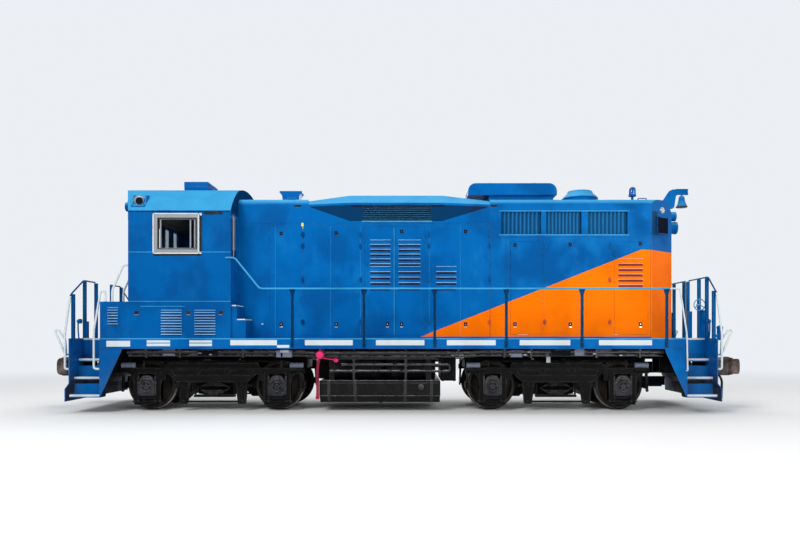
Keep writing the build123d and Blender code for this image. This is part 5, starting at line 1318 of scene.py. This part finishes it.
def make_couplers():
    """Knuckle couplers with rounded castings, lift pins and the levers that lift them."""
    for name, end, sign in ENDS:
        cast = Piece(f"{name}_coupler_casting", "cast_steel")
        for plan, foot, top in COUPLER_CASTINGS:
            cast.lofted([(-a, b) for a, b in plan],
                        [(foot + lift, scale) for lift, scale in CASTING_EDGE]
                        + [(top - drop, scale) for drop, scale in reversed(CASTING_EDGE)])
        cast.box((-1.4, -0.38), (-0.08, 0.08), (0.824, 0.984))
        cast.rod((-0.19, -0.14, 0.715), (-0.19, -0.14, 1.1), 0.035, 20)
        cast.box((-0.48, -0.4), (-0.13, 0.13), (0.77, 1.04))
        cast.make(bevel=0.012, replaces=(f"{name}_coupler",), sides=(sign,), at=(sign * COUPLER_FACE, sign))
        lever = Piece(f"{name}_coupler_lever", "white_paint")
        lever.tube([(0.02, 1.38, LEVER_Z), (0.12, 1.38, LEVER_Z), (0.12, 1.3, LEVER_Z), (0.12, 0.25, LEVER_Z),
                    (0.12, 0.2, LEVER_Z), (0.32, 0.2, LEVER_Z)], 0.016, bend=0.03, segments=8)
        lever.tube([(0.12, 1.38, LEVER_Z), (0.12, 1.44, LEVER_Z), (0.3, 1.44, 1.62), (0.34, 1.44, 1.7),
                    (0.27, 1.44, 1.72), (0.12, 1.44, 1.52), (0.12, 1.4, 1.22)], 0.021, bend=0.05, segments=8)
        for y in (0.3, 1.3):
            lever.box((0, 0.13), span(y, 0.02), span(LEVER_Z, 0.02))
        lever.make(at=(end, sign))


BRAKE_WHEEL_AT = (6.4, 2.25)
BRAKE_WHEEL_Y = -0.98
BRAKE_WHEEL_R = 0.12


def make_end_fittings():
    """Boxes, a hand brake and valves on the end platforms, and the pilots' bolt rows and pipes."""
    blue = Piece("platform_boxes", "blue_paint")
    blue.turned([(0.05, -0.01), (0.05, 0.05), (0.03, 0.06), (0.03, 0.08)], (1.02, 1.9), "X", 20)
    blue.tube([(0.06, 1.02, 1.9), (0.06, 1.02, 1.7), (0.06, 0.98, 1.5)], 0.016, bend=0.05)
    blue.moved(AT_ENDS)
    blue.box((6.42, 6.53), (0.83, 0.94), (DECK_TOP, 2.14))
    blue.box((6.28, 6.36), (0.58, 0.7), (DECK_TOP, 2.12))
    blue.box((-6.7, -6.62), (0.86, 0.94), (DECK_TOP, 1.9))
    blue.box((6.54, 6.64), (1.37, 1.43), (1.56, 1.62))
    blue.turned([(0.03, 1.5), (0.058, 1.51), (0.058, 1.74), (0.066, 1.745), (0.066, 1.77), (0.04, 1.8),
                 (0.001, 1.81)], (6.64, 1.4), "Z", 24)
    blue.make(bevel=0.01)

    # A lighter blue that paints the wheel's highlights
    wheel = Piece("hand_brake", "highlight_blue")
    x, z = BRAKE_WHEEL_AT
    hub = (x, BRAKE_WHEEL_Y, z)
    wheel.tube([(a, BRAKE_WHEEL_Y, b) for a, b in arc_points(x, z, BRAKE_WHEEL_R, 0, 360, 20)], 0.011, bend=0.01,
               segments=8)
    for a, b in compass(3, 90):
        wheel.rod(hub, (x + BRAKE_WHEEL_R * a, BRAKE_WHEEL_Y, z + BRAKE_WHEEL_R * b), 0.01)
    wheel.rod(hub, (x, -0.84, z), 0.016)
    wheel.make(sides=MIDDLE)

    bolts = Piece("pilot_bolts", "blue_paint")
    rows = [0.1 + step * 0.125 for step in range(12)]
    bolts.studs([(0, y, 1.46) for y in rows] + [(0, y, 0.68) for y in rows if y > 0.35], 0.014, 0.01,
                out=(1, 0, 0))
    for low, high in ((0.27, 0.3), (0.3, 0.33)):
        bolts.box((0, 0.012), (low, high), (0.66, 1.06))
    bolts.box((0, 0.012), (-0.33, 0.33), (1.06, 1.09))
    bolts.moved(AT_ENDS)
    bolts.make(bevel=0.002)

    pipes = Piece("end_pipes", "black_paint")
    for y in (0.45, 0.58, 0.71):
        pipes.tube([(-0.05, y, 0.86), (0.05, y, 0.86), (0.09, y, 0.82)], 0.022, bend=0.03)
        pipes.turned([(0.035, 0), (0.035, 0.02)], (y, 0.86), "X", 8)
    pipes.moved(AT_ENDS)
    pipes.tube([(6.54, 1.45, 0.79), (6.6, 1.45, 0.79), (6.66, 1.45, 0.68), (6.65, 1.45, 0.31)], 0.024, bend=0.08)
    pipes.make()


# The upper and the lower headlamp at the hood's end (Z, radius, X of the rim), and the pair over the cab
NOSE_LAMPS = ((4.03, 0.14, 6.28), (4.29, 0.108, 6.258))
CAB_LAMPS_Y = (-0.135, 0.135)
CAB_LAMPS_Z = 4.485
# The (X, Y) ends of the angled cheek beside the hood's end
NOSE_CHEEK = ((5.418, 0.9), (5.968, 0.55))


def make_nose():
    """Headlamps with bright reflectors, and class lamps and blank number boards at the hood's end."""
    case = Piece("headlamp_cases", "blue_paint")
    case.box((5.96, 6.098), (-0.16, 0.16), (3.86, 4.42))
    bowl = Piece("headlamp_bowls", "bright_metal")
    glass = Piece("headlamp_lenses", "lamp_glass")
    for z, radius, reach in NOSE_LAMPS:
        case.turned([(radius * 0.98, 6.09), (radius * 0.98, reach - 0.05), (radius, reach - 0.045), (radius, reach),
                     (radius * 0.88, reach), (radius * 0.86, reach - 0.03)], (0, z), "X", 40)
        bowl.turned([(0.001, reach - 0.12), (radius * 0.5, reach - 0.1), (radius * 0.86, reach - 0.02)],
                    (0, z), "X", 40)
        glass.turned([(radius * 0.86, reach - 0.02), (radius * 0.5, reach - 0.009), (0.001, reach - 0.004)],
                     (0, z), "X", 40)
    for at in ((y, CAB_LAMPS_Z) for y in CAB_LAMPS_Y):
        case.turned([(0.1, -5.955), (0.1, -6.1), (0.104, -6.105), (0.104, -6.12), (0.09, -6.12), (0.088, -6.1)],
                    at, "X", 40)
        bowl.turned([(0.001, -6.03), (0.05, -6.05), (0.088, -6.105)], at, "X", 40)
        glass.turned([(0.088, -6.105), (0.05, -6.112), (0.001, -6.115)], at, "X", 40)
    case.box((-6.04, -5.96), (-0.27, 0.27), (4.35, 4.62))
    case.make(bevel=0.006, replaces=("headlamps",), sides=MIDDLE)
    bowl.make(sides=MIDDLE)
    glass.make(sides=MIDDLE)

    # Blank boards and class lamps on the angled cheeks
    boards = Piece("number_boards", "board_dark")
    lamps = Piece("class_lamps", "lamp_glass")
    rings = Piece("class_lamp_rings", "bright_metal")
    (x0, y0), (x1, y1) = NOSE_CHEEK
    run = Vector((x1 - x0, y1 - y0, 0)).normalized()
    out = Vector((y0 - y1, x1 - x0, 0)).normalized()
    middle = Vector(((x0 + x1) / 2, (y0 + y1) / 2, 3.968))
    corners = [middle + out * 0.03 + run * a + Vector((0, 0, b))
               for a, b in ((-0.165, -0.17), (0.165, -0.17), (0.165, 0.17), (-0.165, 0.17))]
    boards.skin([[corner + out * lift for corner in corners] for lift in (0.004, 0.0)], closed=False)
    lamp_at = middle - run * 0.02 + Vector((0, 0, 0.33))
    lamps.rod(lamp_at, lamp_at + out * 0.05, 0.05, 24)
    rings.rod(lamp_at - out * 0.01, lamp_at + out * 0.035, 0.066, 24)
    for piece in (boards, lamps, rings):
        piece.make(bevel=0.003)


BELL_AT = (6.405, 0)


def make_bell():
    bell = Piece("bell_and_bracket", "blue_paint")
    bell.prism([(5.74, 4.52), (5.83, 4.52), (6.19, 4.464), (6.235, 4.5), (6.262, 4.68), (6.275, 4.755),
                (6.31, 4.784), (6.55, 4.781), (6.54, 4.906), (6.2, 4.906), (6.12, 4.87), (5.985, 4.668)],
               "Y", (-0.02, 0.02))
    bell.box((5.69, 5.83), (-0.06, 0.06), (4.52, 4.532))
    bell.box((6.26, 6.545), (-0.055, 0.055), (4.9, 4.908))
    bell.turned([(0.118, 4.505), (0.1275, 4.498), (0.126, 4.512), (0.105, 4.56), (0.082, 4.62), (0.068, 4.69),
                 (0.06, 4.735), (0.045, 4.757), (0.02, 4.764), (0.02, 4.79)], BELL_AT, "Z", 40)
    bell.make(bevel=0.003, replaces=("bell",), sides=MIDDLE)
    lip = Piece("bell_lip", "rubber")
    lip.turned([(0.127, 4.499), (0.1285, 4.506), (0.1265, 4.514), (0.12, 4.508)], BELL_AT, "Z", 40)
    lip.turned([(0.03, 4.52), (0.03, 4.56), (0.01, 4.6)], BELL_AT, "Z", 16)
    lip.make(sides=MIDDLE)


# The cover over the radiators: its ends, half width, top and the radius of its corners
COVER_X = (1.511, 3.443)
COVER_HALF = 0.65
COVER_TOP = 4.909
COVER_R = 0.17
FAN_AT = (4.095, 0)
BEACON_AT = (5.288, 0)
STACK_X = -2.425


def make_roof():
    """Roof cover with its end bands, fan cowl, flared stack, beacon, vents and lifting eyes."""
    roof = Piece("roof_housings", "blue_paint")
    for x in (-2.3, 5.24):
        roof.tube([(x - 0.09, 0.8, 4.5), (x - 0.09, 0.8, 4.545), (x + 0.09, 0.8, 4.545), (x + 0.09, 0.8, 4.5)],
                  0.012, bend=0.03, segments=8)
    roof.moved(ACROSS)
    low, high = COVER_X
    bend_z = COVER_TOP - COVER_R
    roof.prism([(low, 4.65), (high, 4.65), *arc_points(high - COVER_R, bend_z, COVER_R, 0, 90, 8),
                *arc_points(low + COVER_R, bend_z, COVER_R, 90, 180, 8)], "Y", (-COVER_HALF, COVER_HALF))
    roof.box((1.97, 3.38), (-0.56, 0.56), (HOOD_TOP, 4.655))
    for x in (1.99, 2.95):
        roof.box(span(x, 0.012), span(0, COVER_HALF + 0.004), (COVER_TOP - 0.1, COVER_TOP + 0.004))
    roof.turned([(0.395, HOOD_TOP), (0.395, 4.66), (0.405, 4.665), (0.405, 4.69), (0.37, 4.735), (0.3, 4.79),
                 (0.275, 4.85), (0.24, 4.85), (0.23, 4.81)], FAN_AT, "Z", 56)
    roof.prism(both_halves([(0.175, HOOD_TOP), (0.19, 4.72), (0.225, 4.79), (0.25, 4.8), (0.25, 4.838)], STACK_X),
               "Y", (-0.17, 0.17))
    for step in range(5):
        z = 4.86 + step * 0.027
        roof.box((-4.75, -4.21), (-0.386, 0.386), (z, z + 0.008))
    roof.rod((*BEACON_AT, HOOD_TOP), (*BEACON_AT, 4.75), 0.028, 20)
    roof.turned([(0.06, HOOD_TOP), (0.06, HOOD_TOP + 0.015)], BEACON_AT, "Z", 20)
    roof.make(bevel=0.006, replaces=("roof_fittings",), sides=MIDDLE)
    beacon = Piece("beacon_dome", "beacon_glass")
    beacon.turned([(0.08, 4.78), (0.08, 4.88), (0.07, 4.93), (0.045, 4.955), (0.001, 4.963)], BEACON_AT, "Z")
    beacon.make(sides=MIDDLE)
    base = Piece("beacon_base", "blue_paint")
    base.turned([(0.02, 4.747), (0.085, 4.747), (0.085, 4.782), (0.02, 4.784)], BEACON_AT, "Z")
    base.make(bevel=0.002, sides=MIDDLE)

    # Painted shade: dark sheets inside the stack and the fan cowl, and in the lifting eyes' recesses
    inside = Piece("roof_openings", "dark_gap")
    inside.box((-2.64, -2.21), (-0.14, 0.14), (4.8385, 4.84))
    inside.turned([(0.001, 4.77), (0.232, 4.77), (0.232, 4.75)], FAN_AT, "Z", 40)
    for x in (-2.15, 2.04):
        inside.plate(span(x, 0.075), (4.345, 4.385), HOOD_HALF, 0.002)
    inside.make()

    fan = Piece("fan_and_guard", "grey_steel")
    for radius in (0.09, 0.16):
        fan.tube([(x, y, 4.828) for x, y in arc_points(*FAN_AT, radius, 0, 360, 24)], 0.006, bend=0.01, segments=6)
    guard = Vector((*FAN_AT, 4.828))
    for turn in compass(8):
        out = Vector((*turn, 0))
        fan.rod(guard + out * 0.04, guard + out * 0.236, 0.006)
    fan.turned([(0.045, 4.77), (0.045, 4.825), (0.03, 4.835), (0.001, 4.838)], FAN_AT, "Z", 24)
    low, high = Vector((*FAN_AT, 4.775)), Vector((*FAN_AT, 4.81))
    for a, b in compass(6):
        out, across = Vector((a, b, 0)), Vector((-b, a, 0)) * 0.05
        blade = [low + out * 0.04 - across * 0.5, low + out * 0.225 - across, high + out * 0.225 + across,
                 high + out * 0.04 + across * 0.5]
        fan.skin([blade, [corner - Vector((0, 0, 0.006)) for corner in blade]])
    fan.make(sides=MIDDLE)


def make_hood_trim():
    """Seams and beads along the hood, the square feet of its roof, painted highlights along leaf edges and small
    marks.
    """
    # The beads are in a lighter blue that paints their highlights
    beads = Piece("hood_beads", "highlight_blue")
    for heights in ((3.735, 3.755), (4.247, 4.265)):
        beads.plate((2.15, 4.94), heights, HOOD_HALF, 0.008)
    beads.plate((-0.78, 0.72), (4.02, 4.045), HOOD_HALF + 0.002, 0.012)
    beads.make(bevel=0.002)
    seams = Piece("hood_seams", "dark_gap")
    seams.plate((-3.3, 1.95), (3.984, 3.99), HOOD_HALF, 0.0015)
    seams.plate((1.97, 5.36), (3.697, 3.703), HOOD_HALF, 0.0015)
    for x, top in ((-2.75, 3.98), (1.96, 3.98), (2.3, 3.69), (5.38, 3.69)):
        seams.plate(span(x, 0.004), (1.56, top), HOOD_HALF, 0.0015)
    seams.make()
    # The roof sections stand square on the walls, and the hood's end on the deck
    feet = Piece("hood_roof_feet", "body_paint")
    feet.box((CAB_X[1], -1.92), (0.8, HOOD_HALF), (3.99, 4.12))
    feet.box((1.96, 5.38), (0.8, HOOD_HALF), (3.7, 3.765))
    for ends in ((1.96, 2.193), (3.048, 3.154), (3.913, 4.051), (4.895, 5.38)):
        feet.box(ends, (0.8, HOOD_HALF), (3.765, 3.83))
    feet.make()
    foot = Piece("nose_foot", "body_paint")
    plan = [(5.38, 0.9), (5.4185, 0.9005), (5.9685, 0.5505)]
    foot.prism(plan + [(x, -y) for x, y in reversed(plan)], "Z", (DECK_TOP, 1.672))
    foot.make(sides=MIDDLE)
    # Painted highlights along the leaves' edges
    edges = Piece("leaf_edges", "edge_highlight_paint")
    for x in (-2.627, -1.452, -0.812, 0.662, 1.322):
        edges.plate(span(x, 0.004), (1.6, 3.92), LEAF_FACE, 0.003)
    edges.make()
    plug = Piece("hood_plug", "pale_steel", slot="window_metal")
    plug.rod((-2.9, HOOD_HALF, 1.843), (-2.9, HOOD_HALF + 0.012, 1.843), 0.02)
    plug.make()
    yellow = Piece("yellow_mark", "yellow_paint")
    yellow.plate((-2.07, -2.025), (3.87, 4.0), HOOD_HALF, 0.002)
    yellow.make()
    kick = Piece("hood_foot", "blue_paint")
    kick.plate((-2.7, 5.4), (DECK_TOP, 1.572), HOOD_HALF, 0.012)
    kick.make(bevel=0.003)


def make_stage():
    floor = bpy.data.meshes.new("floor")
    floor.from_pydata([(-60, -40, 0), (60, -40, 0), (60, 60, 0), (-60, 60, 0)], [], [(0, 1, 2, 3)])
    floor.materials.append(floor_material())
    piece = bpy.data.objects.new("floor", floor)
    bpy.context.scene.collection.objects.link(piece)


bpy.context.scene.view_settings.view_transform = "Standard"
for step in (setup_camera, setup_light, make_stage, dress_nodes, make_sill_marks, make_latches,
             make_leaf_hinges, make_louvre_slots, make_cab_trim, make_cab_inside, make_cab_lamps,
             make_sill_trim, make_step_trim, make_end_rails, make_stair_rails, make_side_rails, make_tank,
             make_underfloor, make_ducts, make_wheels):
    step()
for truck in TRUCK_X:
    make_truck(truck)
    make_bolster(truck)
    make_brakes(truck)
for step in (make_couplers, make_end_fittings, make_nose, make_bell, make_roof, make_hood_trim):
    step()
